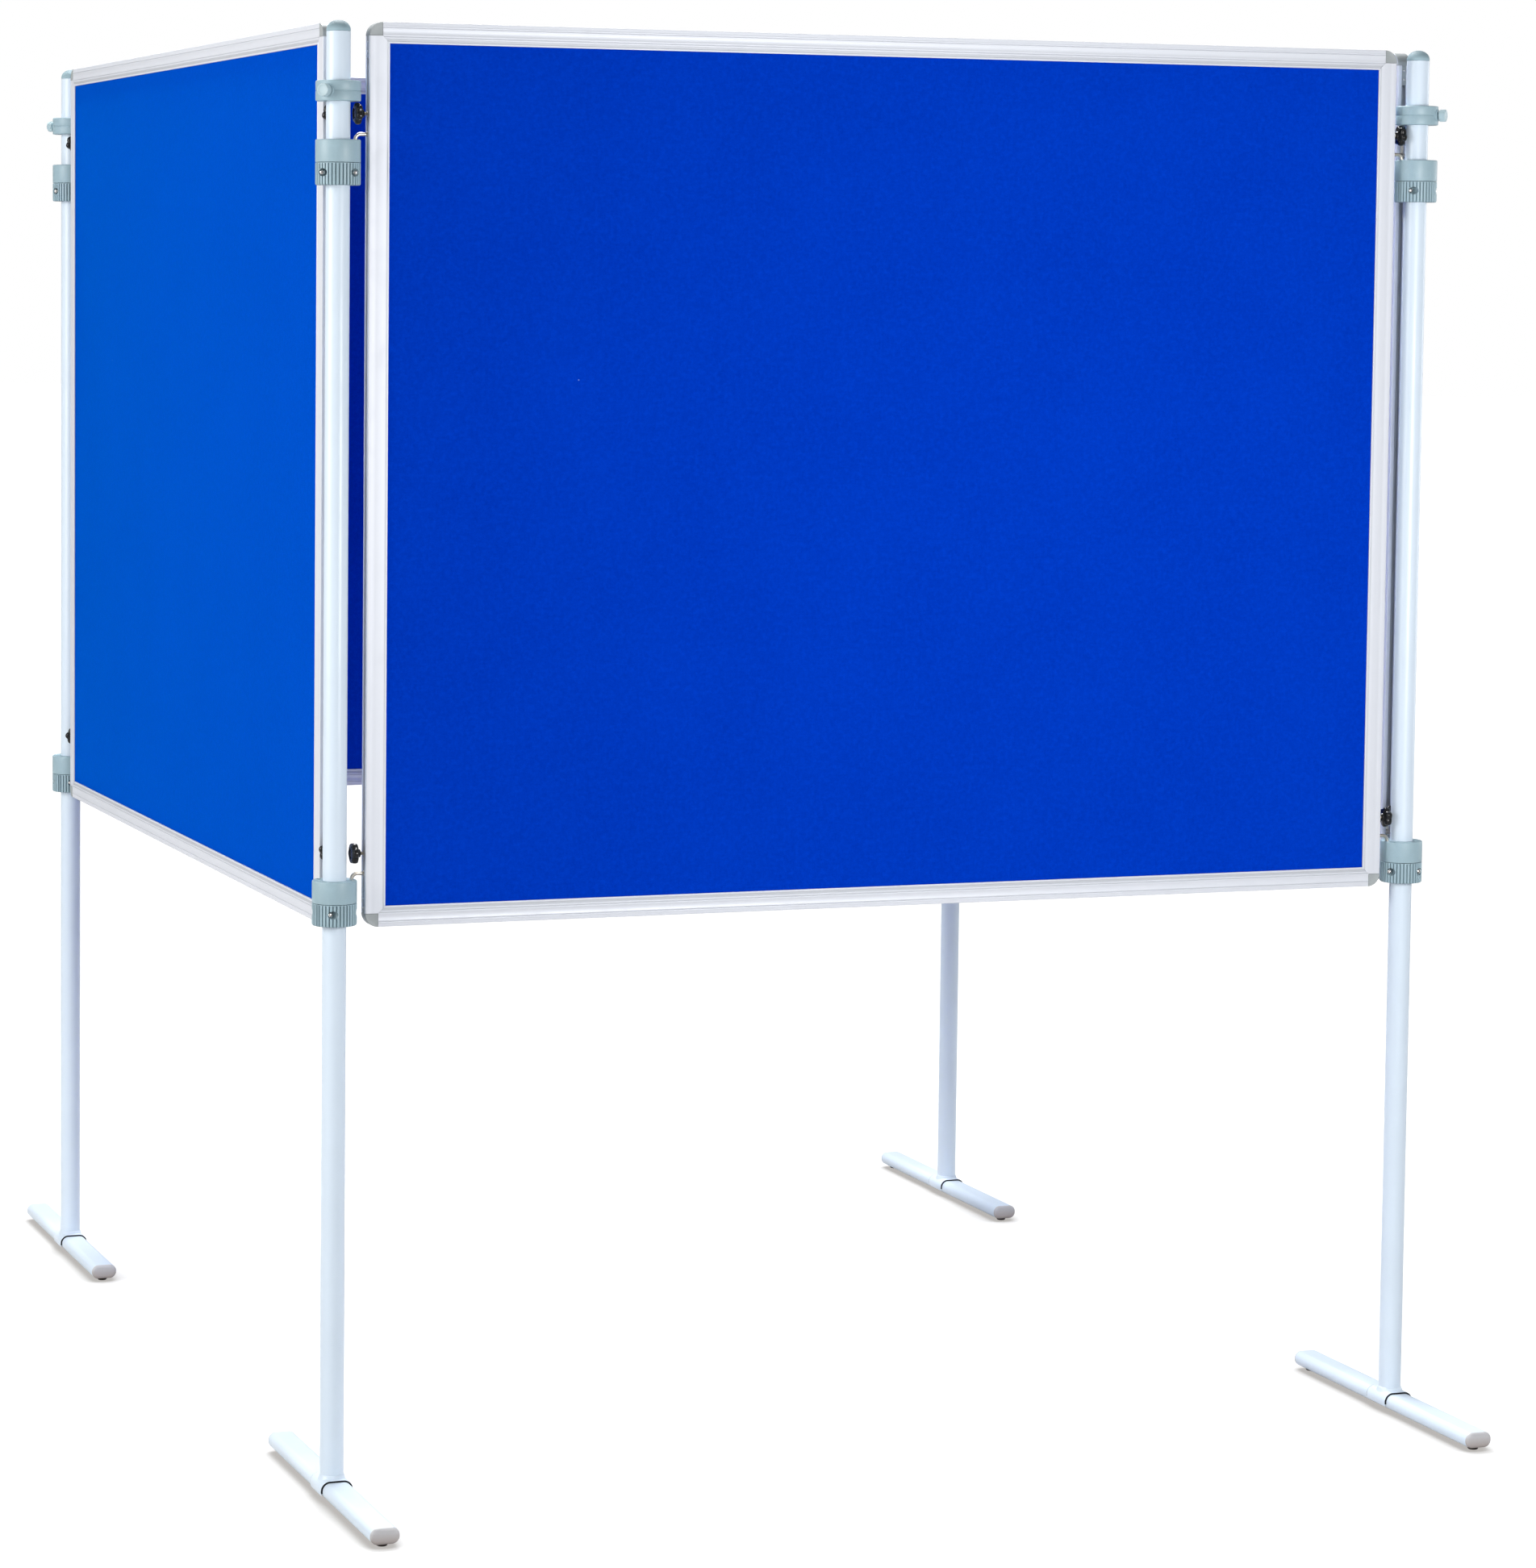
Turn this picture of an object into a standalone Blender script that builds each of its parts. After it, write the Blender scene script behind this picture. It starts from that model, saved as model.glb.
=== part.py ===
# Mobile pinboard booth: four framed felt boards hung between four T-foot posts.
# Metres, +Z up. The origin is on the floor at the centre of the square of posts.
# Run with: blender --background --python part.py
import math

import bmesh
import bpy
from mathutils import Matrix, Vector

MM = 0.001
# ---- driving dimensions -------------------------------------------------
PITCH = 1605 * MM            # post centre to post centre
HALF = PITCH / 2
BOARD_W = 1525 * MM          # outside width of a framed board
BOARD_TOP = 1972 * MM
BOARD_BOTTOM = 772 * MM
BOARD_T = 20 * MM            # frame depth, face to face
RAIL_W = 28 * MM             # width of the frame's face
RAIL_WALL = 1.9 * MM         # lip thickness
PANEL_HALF_T = 7.8 * MM      # felt face to board centre
CAP_R = 18 * MM              # quarter-round corner cap
SLOT_MOUTH = 3.2 * MM        # half width of the slot in the upright rails
SLOT_HALF = 6.0 * MM
SLOT_LIP = 1.6 * MM
SLOT_DEPTH = 6.4 * MM
CAP_LEG = 56 * MM            # the cap's leg fills the slot down to here
SEAM = 0.15 * MM             # half of the gap between two touching pieces

POST_R = 16 * MM
POST_BORE = 14.5 * MM
POST_TOP = 1959 * MM
POST_STEPS = 16
SADDLE_TOP = 29.2 * MM
DOME_H = 14.5 * MM

FOOT_HALF = 255 * MM         # half of the foot's length, over the end caps
FOOT_W = 40 * MM
FOOT_H = 22 * MM
FOOT_BASE = 5 * MM           # underside of the bar: the glides lift it
END_CAP = 4 * MM
GLIDE_R = 8 * MM
GLIDE_IN = 17 * MM           # glide centre, from the foot's end

COLLAR_R = 30 * MM
COLLAR_H = 60 * MM
COLLAR_BORE = 16.5 * MM
COLLAR_TOPS = (1817 * MM, 836 * MM)
HOOK_CIRCLE = 23.5 * MM      # hook holes, from the post's axis
HOOK_R = 2.5 * MM
HOOK_HOLE_R = 3.3 * MM
HOOK_RISE = 7.5 * MM         # hook rod above its collar
KNOB_RISE = 27 * MM          # star knob above its hook
KNOB_R = 14.6 * MM

RING_Z = (1867 * MM, 1894 * MM)
THUMB_Z = 1880.5 * MM

SIDE = BOARD_W / 2           # board centre to its side edge
PIVOT = HALF - HOOK_CIRCLE   # board centre to the axis of its hooks

# ---- clean scene --------------------------------------------------------
for old in list(bpy.data.objects):
    bpy.data.objects.remove(old, do_unlink=True)
scene = bpy.context.scene
parts = bpy.data.collections.new("mobile_pinboard")
cutters = bpy.data.collections.new("cutters")
scene.collection.children.link(parts)
scene.collection.children.link(cutters)


def principled(name, colour, roughness, metallic):
    m = bpy.data.materials.new(name)
    m.use_nodes = True
    b = m.node_tree.nodes["Principled BSDF"]
    b.inputs["Base Color"].default_value = (*colour, 1.0)
    b.inputs["Roughness"].default_value = roughness
    b.inputs["Metallic"].default_value = metallic
    m.diffuse_color = (*colour, 1.0)
    return m


LOOKS = {
    "aluminium": ((0.80, 0.82, 0.84), 0.38, 0.9),
    "felt": ((0.005, 0.035, 0.50), 0.95, 0.0),
    "collar_grey": ((0.33, 0.45, 0.50), 0.45, 0.0),
    "paint": ((0.80, 0.87, 0.93), 0.35, 0.0),
    "end_grey": ((0.38, 0.36, 0.38), 0.5, 0.0),
    "black": ((0.02, 0.02, 0.022), 0.4, 0.0),
}


# ---- modelling helpers --------------------------------------------------
def add(name, data, coll=parts):
    o = bpy.data.objects.new(name, data)
    coll.objects.link(o)
    return o


def outline(loops, depth):
    """A flat outline, drawn as closed curves in XY and thickened by depth along Z about Z = 0. A second loop is a hole."""
    cu = bpy.data.curves.new("outline", "CURVE")
    cu.dimensions = "2D"
    cu.fill_mode = "BOTH"
    cu.extrude = depth / 2
    for pts in loops:
        sp = cu.splines.new("POLY")
        sp.points.add(len(pts) - 1)
        for p, (x, y) in zip(sp.points, pts):
            p.co = (x, y, 0, 1)
        sp.use_cyclic_u = True
    return to_mesh(add("outline", cu, cutters))


def wire(points, radius, resolution):
    cu = bpy.data.curves.new("wire", "CURVE")
    cu.dimensions = "3D"
    cu.bevel_depth = radius
    cu.bevel_resolution = resolution
    cu.use_fill_caps = True
    sp = cu.splines.new("POLY")
    sp.points.add(len(points) - 1)
    for p, co in zip(sp.points, points):
        p.co = (*co, 1)
    return to_mesh(add("wire", cu, cutters))


def turned(profile, steps, closed=False):
    """A profile of (radius, height) pairs turned about Z with a Screw modifier; it runs down its outer side."""
    me = bpy.data.meshes.new("turned")
    bm = bmesh.new()
    vs = [bm.verts.new((r, 0, z)) for r, z in profile]
    for a, b in zip(vs, vs[1:] + (vs[:1] if closed else [])):
        bm.edges.new((a, b))
    bm.to_mesh(me)
    bm.free()
    o = add("turned", me, cutters)
    s = o.modifiers.new("Screw", "SCREW")
    s.steps = steps
    s.render_steps = steps
    s.use_merge_vertices = True
    s.merge_threshold = 0.00001
    return to_mesh(o)


def box(x, y, z):
    """A box between two X, two Y and two Z values."""
    me = bpy.data.meshes.new("box")
    bm = bmesh.new()
    bmesh.ops.create_cube(bm, size=1.0)
    bmesh.ops.scale(bm, vec=(x[1] - x[0], y[1] - y[0], z[1] - z[0]), verts=bm.verts)
    bmesh.ops.translate(
        bm, vec=((x[0] + x[1]) / 2, (y[0] + y[1]) / 2, (z[0] + z[1]) / 2), verts=bm.verts
    )
    bm.to_mesh(me)
    bm.free()
    return add("box", me, cutters)


def rod(radius, z0, z1, steps, matrix=Matrix()):
    """A cylinder along Z from z0 to z1, then placed by the matrix."""
    me = bpy.data.meshes.new("rod")
    bm = bmesh.new()
    bmesh.ops.create_cone(
        bm, cap_ends=True, segments=steps, radius1=radius, radius2=radius, depth=z1 - z0
    )
    bmesh.ops.translate(bm, vec=(0, 0, (z0 + z1) / 2), verts=bm.verts)
    bmesh.ops.transform(bm, matrix=matrix, verts=bm.verts)
    bm.to_mesh(me)
    bm.free()
    return add("rod", me, cutters)


def evaluated(o):
    bpy.context.view_layer.update()
    deps = bpy.context.evaluated_depsgraph_get()
    return bpy.data.meshes.new_from_object(o.evaluated_get(deps))


def to_mesh(o):
    """Replaces an object by its evaluated mesh, with loose caps welded and faces pointing out."""
    me = evaluated(o)
    bm = bmesh.new()
    bm.from_mesh(me)
    bmesh.ops.remove_doubles(bm, verts=bm.verts, dist=0.000005)
    bmesh.ops.recalc_face_normals(bm, faces=bm.faces)
    bm.to_mesh(me)
    bm.free()
    new = add(o.name, me, cutters)
    new.matrix_world = o.matrix_world.copy()
    bpy.data.objects.remove(o, do_unlink=True)
    return new


def combine(target, tool, operation):
    """Boolean with the EXACT solver, then the tool goes away."""
    mod = target.modifiers.new("Boolean", "BOOLEAN")
    mod.operation = operation
    mod.solver = "EXACT"
    mod.object = tool
    tool.hide_render = True
    tool.display_type = "WIRE"
    new = to_mesh(target)
    bpy.data.objects.remove(tool, do_unlink=True)
    return new


def moved(o, matrix):
    o.data.transform(matrix)
    return o


def trim(o, point, normal):
    """Cuts the mesh square with a plane and keeps the side that the normal points away from."""
    bm = bmesh.new()
    bm.from_mesh(o.data)
    cut = bmesh.ops.bisect_plane(
        bm,
        geom=bm.verts[:] + bm.edges[:] + bm.faces[:],
        dist=1e-7,
        plane_co=point,
        plane_no=normal,
        clear_outer=True,
    )
    edges = [e for e in cut["geom_cut"] if isinstance(e, bmesh.types.BMEdge)]
    bmesh.ops.triangle_fill(bm, use_beauty=True, use_dissolve=False, edges=edges)
    bmesh.ops.recalc_face_normals(bm, faces=bm.faces)
    bm.to_mesh(o.data)
    bm.free()
    return o


def group(name, pieces, look, empty, offset=(0, 0, 0), turn=0.0, smooth=True):
    """Gathers solids into one named object, in its body's local frame, and hangs it on the body's empty."""
    me = bpy.data.meshes.new(name)
    bm = bmesh.new()
    for p in pieces:
        bm.from_mesh(p.data)
    bm.to_mesh(me)
    bm.free()
    for p in pieces:
        bpy.data.objects.remove(p, do_unlink=True)
    if smooth:
        me.shade_smooth()
        me.set_sharp_from_angle(angle=math.radians(35))
    o = add(name, me)
    me.materials.append(principled(name, *LOOKS[look]))
    o.parent = empty
    o.location = offset
    o.rotation_euler = (0, 0, turn)
    return o


def empty_at(name, x, y, turn=0.0, parent=None):
    """The pivot of a body: an empty at a place in the world, turned about Z."""
    e = bpy.data.objects.new(name, None)
    parts.objects.link(e)
    e.empty_display_size = 0.1
    world = Matrix.Translation((x, y, 0)) @ Matrix.Rotation(turn, 4, "Z")
    if parent is not None:
        e.parent = parent
        e.matrix_local = PIVOTS[parent.name].inverted() @ world
    else:
        e.matrix_local = world
    PIVOTS[name] = world
    return e


PIVOTS = {}


def oval(w, h, r, steps=3):
    """A flat-oval outline, w wide and h high with corner radius r."""
    pts = []
    for cx, cz, a0 in ((1, 1, 0), (-1, 1, 90), (-1, -1, 180), (1, -1, 270)):
        for i in range(steps + 1):
            a = math.radians(a0 + 90 * i / steps)
            pts.append((cx * (w / 2 - r) + r * math.cos(a), cz * (h / 2 - r) + r * math.sin(a)))
    return pts


def along_y(o, z):
    """Stands an XY outline up in XZ at height z, its thickness along Y."""
    return moved(o, Matrix.Translation((0, 0, z)) @ Matrix.Rotation(math.pi / 2, 4, "X"))


# ---- boards: X along the board, -Y its outer face ------------------------
T = BOARD_T / 2
MID_Z = (BOARD_TOP + BOARD_BOTTOM) / 2
TALL = BOARD_TOP - BOARD_BOTTOM


def rounded_slab():
    """The board's outside: a plate with quarter-round corners."""
    pts = []
    steps = 6
    for cx, cz, a0 in ((1, 1, 0), (-1, 1, 90), (-1, -1, 180), (1, -1, 270)):
        for i in range(steps + 1):
            a = math.radians(a0 + 90 * i / steps)
            pts.append((cx * (SIDE - CAP_R) + CAP_R * math.cos(a), cz * (TALL / 2 - CAP_R) + CAP_R * math.sin(a)))
    return along_y(outline([pts], BOARD_T), MID_Z)


def hook(s, collar_top):
    """A bent round hook on its slot block, at one side of a board. The block is clamped in the slot, so it joins the frame."""
    z = collar_top + HOOK_RISE
    bend = 6 * MM
    pivot = s * PIVOT
    pts = [(s * (SIDE - 4 * MM), 0, z), (pivot - s * bend, 0, z)]
    for i in range(1, 4):
        a = math.pi / 2 * i / 3
        pts.append((pivot - s * bend * (1 - math.sin(a)), 0, z - bend * (1 - math.cos(a))))
    pts.append((pivot, 0, collar_top - 22 * MM))
    bar = wire(pts, HOOK_R, 1)
    x = sorted((s * (SIDE - SLOT_LIP - 0.4 * MM), s * (SIDE - SLOT_DEPTH - 0.5 * MM)))
    block = box(x, (-SLOT_HALF - 0.5 * MM, SLOT_HALF + 0.5 * MM), (z - 10 * MM, z + KNOB_RISE + 9 * MM))
    return combine(block, bar, "UNION")


def frame():
    """The lipped aluminium frame with its corner caps, the slots down both sides and the four hooks clamped in them."""
    o = rounded_slab()
    window = box((-SIDE + RAIL_W, SIDE - RAIL_W), (-0.02, 0.02), (BOARD_BOTTOM + RAIL_W, BOARD_TOP - RAIL_W))
    o = combine(o, window, "DIFFERENCE")
    lip = T - RAIL_WALL
    c = CAP_R + SEAM
    wide = box((-SIDE + 8 * MM, SIDE - 8 * MM), (-lip, lip), (BOARD_BOTTOM + c, BOARD_TOP - c))
    tall = box((-SIDE + c, SIDE - c), (-lip, lip), (BOARD_BOTTOM + 2 * MM, BOARD_TOP - 2 * MM))
    o = combine(o, wide, "DIFFERENCE")
    o = combine(o, tall, "DIFFERENCE")
    z = (BOARD_BOTTOM + CAP_LEG, BOARD_TOP - CAP_LEG)
    for s in (-1, 1):
        mouth = box(sorted((s * (SIDE + 1 * MM), s * (SIDE - SLOT_LIP - 1 * MM))), (-SLOT_MOUTH, SLOT_MOUTH), z)
        channel = box(sorted((s * (SIDE - SLOT_LIP), s * (SIDE - SLOT_DEPTH))), (-SLOT_HALF, SLOT_HALF), z)
        o = combine(o, mouth, "DIFFERENCE")
        o = combine(o, channel, "DIFFERENCE")
        for top in COLLAR_TOPS:
            o = combine(o, hook(s, top), "UNION")
    return o


def star_knob():
    """A six-lobed clamping knob with its stud, turned about Z; Z = 0 is the frame's side."""
    inner = -(SLOT_LIP + 0.1 * MM)
    o = turned([
        (0, 19 * MM), (9 * MM, 18.4 * MM), (KNOB_R, 16.5 * MM), (KNOB_R, 9.5 * MM), (5 * MM, 5 * MM),
        (HOOK_R, 5 * MM), (HOOK_R, inner), (0, inner),
    ], 12)
    for v in o.data.vertices:
        r = math.hypot(v.co.x, v.co.y)
        if r > 12 * MM:
            lobe = 0.5 + 0.5 * math.cos(6 * math.atan2(v.co.y, v.co.x))
            k = 1 - 0.13 * (1 - lobe)
            v.co.x *= k
            v.co.y *= k
    return o


# ---- posts --------------------------------------------------------------
FOOT_MID = FOOT_BASE + FOOT_H / 2


def post():
    """Round tube, open at both ends; its foot stands in the saddle's flare."""
    low = SADDLE_TOP + 0.3 * MM
    return turned([(POST_R, POST_TOP), (POST_R, low), (POST_BORE, low), (POST_BORE, POST_TOP)], POST_STEPS, closed=True)


def post_cap():
    base = POST_TOP + 0.3 * MM
    dome = [(POST_R * math.sin(math.pi / 2 * i / 4), base + DOME_H * math.cos(math.pi / 2 * i / 4)) for i in range(5)]
    dome[0] = (0, base + DOME_H)
    return turned(dome + [(POST_BORE - 0.4 * MM, base), (POST_BORE - 0.4 * MM, POST_TOP - 20 * MM), (0, POST_TOP - 20 * MM)], 12)


def foot_bar():
    """Flat-oval bar with the pressed saddle that is screwed down over its middle."""
    wall = 1.5 * MM
    length = 2 * (FOOT_HALF - END_CAP) - 2 * SEAM
    bar = along_y(outline([
        oval(FOOT_W, FOOT_H, 10.5 * MM), oval(FOOT_W - 2 * wall, FOOT_H - 2 * wall, 9 * MM)[::-1],
    ], length), FOOT_MID)
    for s in (-1, 1):
        hole = rod(4 * MM, 0, 12 * MM, 8, Matrix.Translation((0, s * (FOOT_HALF - GLIDE_IN), 0)))
        bar = combine(bar, hole, "DIFFERENCE")
    shell = along_y(outline([oval(FOOT_W + 4.4 * MM, FOOT_H + 4.4 * MM, 12.7 * MM)], 53 * MM), FOOT_MID)
    hollow = along_y(outline([oval(FOOT_W + 0.8 * MM, FOOT_H + 0.8 * MM, 10.9 * MM)], 60 * MM), FOOT_MID)
    shell = combine(shell, hollow, "DIFFERENCE")
    trim(shell, (0, 0, 10 * MM), (0, 0, -1))
    flare = turned([
        (16.9 * MM, 40 * MM), (18.2 * MM, 34 * MM), (21 * MM, SADDLE_TOP - 0.3 * MM), (21 * MM, SADDLE_TOP - 1.5 * MM),
        (POST_R + 0.3 * MM, SADDLE_TOP - 1.5 * MM), (POST_R + 0.3 * MM, 40 * MM),
    ], POST_STEPS, closed=True)
    shell = combine(shell, flare, "UNION")
    screw = rod(3 * MM, FOOT_MID + 5 * MM, SADDLE_TOP - 1 * MM, 8)
    return combine(combine(bar, shell, "UNION"), screw, "UNION")


def foot_end(s):
    """Rounded end cap with its plug in the bar, and the glide that is screwed up into the plug."""
    head = outline([oval(FOOT_W, FOOT_H, 10.5 * MM)], END_CAP - SEAM)
    bm = bmesh.new()
    bm.from_mesh(head.data)
    bmesh.ops.dissolve_limit(bm, angle_limit=0.01, verts=bm.verts, edges=bm.edges)
    top = max(v.co.z for v in bm.verts)
    rim = [e for e in bm.edges if all(abs(v.co.z - top) < 1e-6 for v in e.verts)]
    bmesh.ops.bevel(bm, geom=rim, offset=2.5 * MM, offset_type="OFFSET", segments=2, profile=0.5, affect="EDGES")
    bmesh.ops.triangulate(bm, faces=bm.faces)
    bm.to_mesh(head.data)
    bm.free()
    plug = outline([oval(FOOT_W - 4 * MM, FOOT_H - 4 * MM, 8.2 * MM)], 32 * MM)
    moved(plug, Matrix.Translation((0, 0, -END_CAP / 2 - 15 * MM)))
    cap = combine(head, plug, "UNION")
    # the outline's +Z becomes the foot's outward end
    m = Matrix.Translation((0, s * (FOOT_HALF - (END_CAP - SEAM) / 2), FOOT_MID))
    m = m @ Matrix.Rotation(-s * math.pi / 2, 4, "X")
    moved(cap, m)
    at = Matrix.Translation((0, s * (FOOT_HALF - GLIDE_IN), 0))
    glide = combine(rod(GLIDE_R, 0, FOOT_BASE - 0.3 * MM, 12, at), rod(3.5 * MM, 2 * MM, 12 * MM, 8, at), "UNION")
    return combine(cap, glide, "UNION")


SCREW_UP = 16.5 * MM         # screws above the collar's underside
SCREW_OFF = 21.2 * MM        # and sideways from the post's axis


def hook_collar(top, screws_at):
    """A collar with two hook holes towards its boards (+X and +Y) and four screw recesses, in parallel pairs from two sides."""
    z0 = top - COLLAR_H
    ring = turned([(COLLAR_R, top), (COLLAR_R, z0), (COLLAR_BORE, z0), (COLLAR_BORE, top)], 24, closed=True)
    for a in (0, math.pi / 2):
        hole = rod(HOOK_HOLE_R, top - 30 * MM, top + 5 * MM, 8, Matrix.Rotation(a, 4, "Z") @ Matrix.Translation((HOOK_CIRCLE, 0, 0)))
        ring = combine(ring, hole, "DIFFERENCE")
    for way in (math.pi / 4, 5 * math.pi / 4):
        for side in (-1, 1):
            m = Matrix.Rotation(screws_at + way, 4, "Z") @ Matrix.Translation((0, side * SCREW_OFF, z0 + SCREW_UP))
            m = m @ Matrix.Rotation(math.pi / 2, 4, "Y")
            ring = combine(ring, rod(5 * MM, 14 * MM, 34 * MM, 8, m), "DIFFERENCE")
    return ring


def lock_ring():
    """The plain guard ring above the star knobs, drilled for its thumbscrew at -135 degrees."""
    ring = turned([
        (COLLAR_R, RING_Z[1]), (COLLAR_R, RING_Z[0]), (COLLAR_BORE, RING_Z[0]), (COLLAR_BORE, RING_Z[1]),
    ], 24, closed=True)
    m = Matrix.Rotation(math.radians(-135), 4, "Z") @ Matrix.Translation((0, 0, THUMB_Z)) @ Matrix.Rotation(math.pi / 2, 4, "Y")
    return combine(ring, rod(2.9 * MM, 10 * MM, 36 * MM, 8, m), "DIFFERENCE")


def thumbscrew():
    """Round head and stud, turned about Z; Z = 0 is the post's axis and the head points outwards."""
    return turned([
        (0, 42.5 * MM), (7.5 * MM, 42.5 * MM), (8.5 * MM, 41.5 * MM), (8.5 * MM, 32 * MM),
        (2.4 * MM, 32 * MM), (2.4 * MM, 17.5 * MM), (0, 17.5 * MM),
    ], 12)


# ---- assembly -----------------------------------------------------------
# boards: name -> centre, turn about Z, pivot of its body, names of its -X and +X ends
BOARDS = {
    "front": ((0, -HALF), 0.0, ("left", "right")),
    "left": ((-HALF, 0), -math.pi / 2, ("rear", "front")),
    "right": ((HALF, 0), math.pi / 2, ("front", "rear")),
    "rear": ((0, HALF), math.pi, ("right", "left")),
}
POSTS = {
    "front_left": ((-HALF, -HALF), 0.0, (math.radians(33), math.radians(73))),
    "front_right": ((HALF, -HALF), math.pi / 2, (math.radians(-124), math.radians(-147))),
    "rear_left": ((-HALF, HALF), -math.pi / 2, (math.radians(20), math.radians(-95))),
    "rear_right": ((HALF, HALF), math.pi, (math.radians(-112), math.radians(-130))),
}
H = HOOK_CIRCLE
front_body = empty_at("pivot_front_board", 0, -HALF)
front_left_body = empty_at("pivot_front_left_post", -HALF + H, -HALF, parent=front_body)
front_right_body = empty_at("pivot_front_right_post", HALF - H, -HALF, parent=front_body)
left_body = empty_at("pivot_left_board", -HALF, -HALF + H, parent=front_left_body)
right_body = empty_at("pivot_right_board", HALF, -HALF + H, parent=front_right_body)
rear_left_body = empty_at("pivot_rear_left_post", -HALF, HALF - H, parent=left_body)
rear_right_body = empty_at("pivot_rear_right_post", HALF, HALF - H, parent=right_body)
rear_body = empty_at("pivot_rear_board", -HALF + H, HALF, parent=rear_left_body)
BODY = {
    "front": front_body, "left": left_body, "right": right_body, "rear": rear_body,
    "front_left": front_left_body, "front_right": front_right_body,
    "rear_left": rear_left_body, "rear_right": rear_right_body,
}


def place(body, x, y):
    """Offset of a world point in plan from a body's pivot, in the pivot's frame."""
    return (PIVOTS[body.name].inverted() @ Vector((x, y, 0)))[:]


for name, ((cx, cy), turn, ends) in BOARDS.items():
    body = BODY[name]
    at = place(body, cx, cy)
    group(name + "_frame", [frame()], "aluminium", body, at, turn, smooth=False)
    x, z = SIDE - CAP_R - 0.4 * MM, CAP_R + 0.4 * MM
    panel = box((-x, x), (-PANEL_HALF_T, PANEL_HALF_T), (BOARD_BOTTOM + z, BOARD_TOP - z))
    group(name + "_panel", [panel], "felt", body, at, turn, smooth=False)
    for s, end in zip((-1, 1), ends):
        for top, level in zip(COLLAR_TOPS, ("upper", "lower")):
            knob = group("%s_knob_%s_%s" % (name, end, level), [star_knob()], "black", body)
            spin = Matrix.Rotation(turn, 4, "Z") @ Matrix.Translation((s * SIDE, 0, top + HOOK_RISE + KNOB_RISE))
            spin = Matrix.Translation(at) @ spin @ Matrix.Rotation(s * math.pi / 2, 4, "Y")
            knob.matrix_local = spin

for name, ((px, py), turn, screws) in POSTS.items():
    body = BODY[name]
    at = place(body, px, py)
    group(name + "_post", [post()], "paint", body, at)
    group(name + "_post_cap", [post_cap()], "collar_grey", body, at)
    group(name + "_foot_bar", [foot_bar()], "paint", body, at)
    for s, end in ((-1, "front"), (1, "rear")):
        group("%s_foot_end_%s" % (name, end), [foot_end(s)], "end_grey", body, at)
    for top, world_angle, level in zip(COLLAR_TOPS, screws, ("upper", "lower")):
        group("%s_hook_collar_%s" % (name, level), [hook_collar(top, world_angle - turn)], "collar_grey", body, at, turn)
    group(name + "_lock_ring", [lock_ring()], "collar_grey", body, at, turn)
    screw = group(name + "_thumbscrew", [thumbscrew()], "collar_grey", body)
    m = Matrix.Translation(at) @ Matrix.Rotation(turn + math.radians(-135), 4, "Z")
    screw.matrix_local = m @ Matrix.Translation((0, 0, THUMB_Z)) @ Matrix.Rotation(math.pi / 2, 4, "Y")
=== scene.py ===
"""Looks of the mobile pinboard booth: rails, caps, felt, hooks, knobs, posts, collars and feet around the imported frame."""
import math

import bmesh
import bpy
import numpy as np
from mathutils import Matrix, Vector


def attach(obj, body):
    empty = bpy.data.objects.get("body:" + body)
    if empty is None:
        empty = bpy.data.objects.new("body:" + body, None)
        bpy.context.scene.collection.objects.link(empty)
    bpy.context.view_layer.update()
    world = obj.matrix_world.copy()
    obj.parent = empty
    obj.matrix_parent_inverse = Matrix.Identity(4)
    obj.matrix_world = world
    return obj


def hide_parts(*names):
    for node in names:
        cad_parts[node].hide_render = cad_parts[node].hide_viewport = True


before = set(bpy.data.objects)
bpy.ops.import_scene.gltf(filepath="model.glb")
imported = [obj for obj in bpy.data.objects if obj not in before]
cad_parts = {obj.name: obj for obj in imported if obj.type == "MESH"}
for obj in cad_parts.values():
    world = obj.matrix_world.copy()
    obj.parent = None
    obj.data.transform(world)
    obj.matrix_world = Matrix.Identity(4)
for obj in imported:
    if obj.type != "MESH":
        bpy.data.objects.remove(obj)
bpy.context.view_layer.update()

MM = 0.001
PI = math.pi
T = Matrix.Translation


def R(degrees, axis):
    return Matrix.Rotation(math.radians(degrees), 4, axis)


# ---- the object's sizes, as in the solid model -----------------------------
HALF = 0.8025
SIDE = 0.7625
TOP = 1.972
BOTTOM = 0.772
MID_Z = (TOP + BOTTOM) / 2
WIDTH = 2 * SIDE
HEIGHT = TOP - BOTTOM
CAP = 18 * MM
RAIL = 28 * MM
FELT_Y = 7.8 * MM
COLLAR_TOPS = {"upper": 1.817, "lower": 0.836}
HOOK_CIRCLE = 23.5 * MM
FOOT_MID = 16 * MM
POST_TOP = 1.959

BOARDS = {
    "front": ((0, -HALF), 0, ("left", "right")),
    "left": ((-HALF, 0), -90, ("rear", "front")),
    "right": ((HALF, 0), 90, ("front", "rear")),
    "rear": ((0, HALF), 180, ("right", "left")),
}
POSTS = {
    "front_left": ((-HALF, -HALF), 0, (33, 73)),
    "front_right": ((HALF, -HALF), 90, (-124, -147)),
    "rear_left": ((-HALF, HALF), -90, (20, -95)),
    "rear_right": ((HALF, HALF), 180, (-112, -130)),
}


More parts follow.
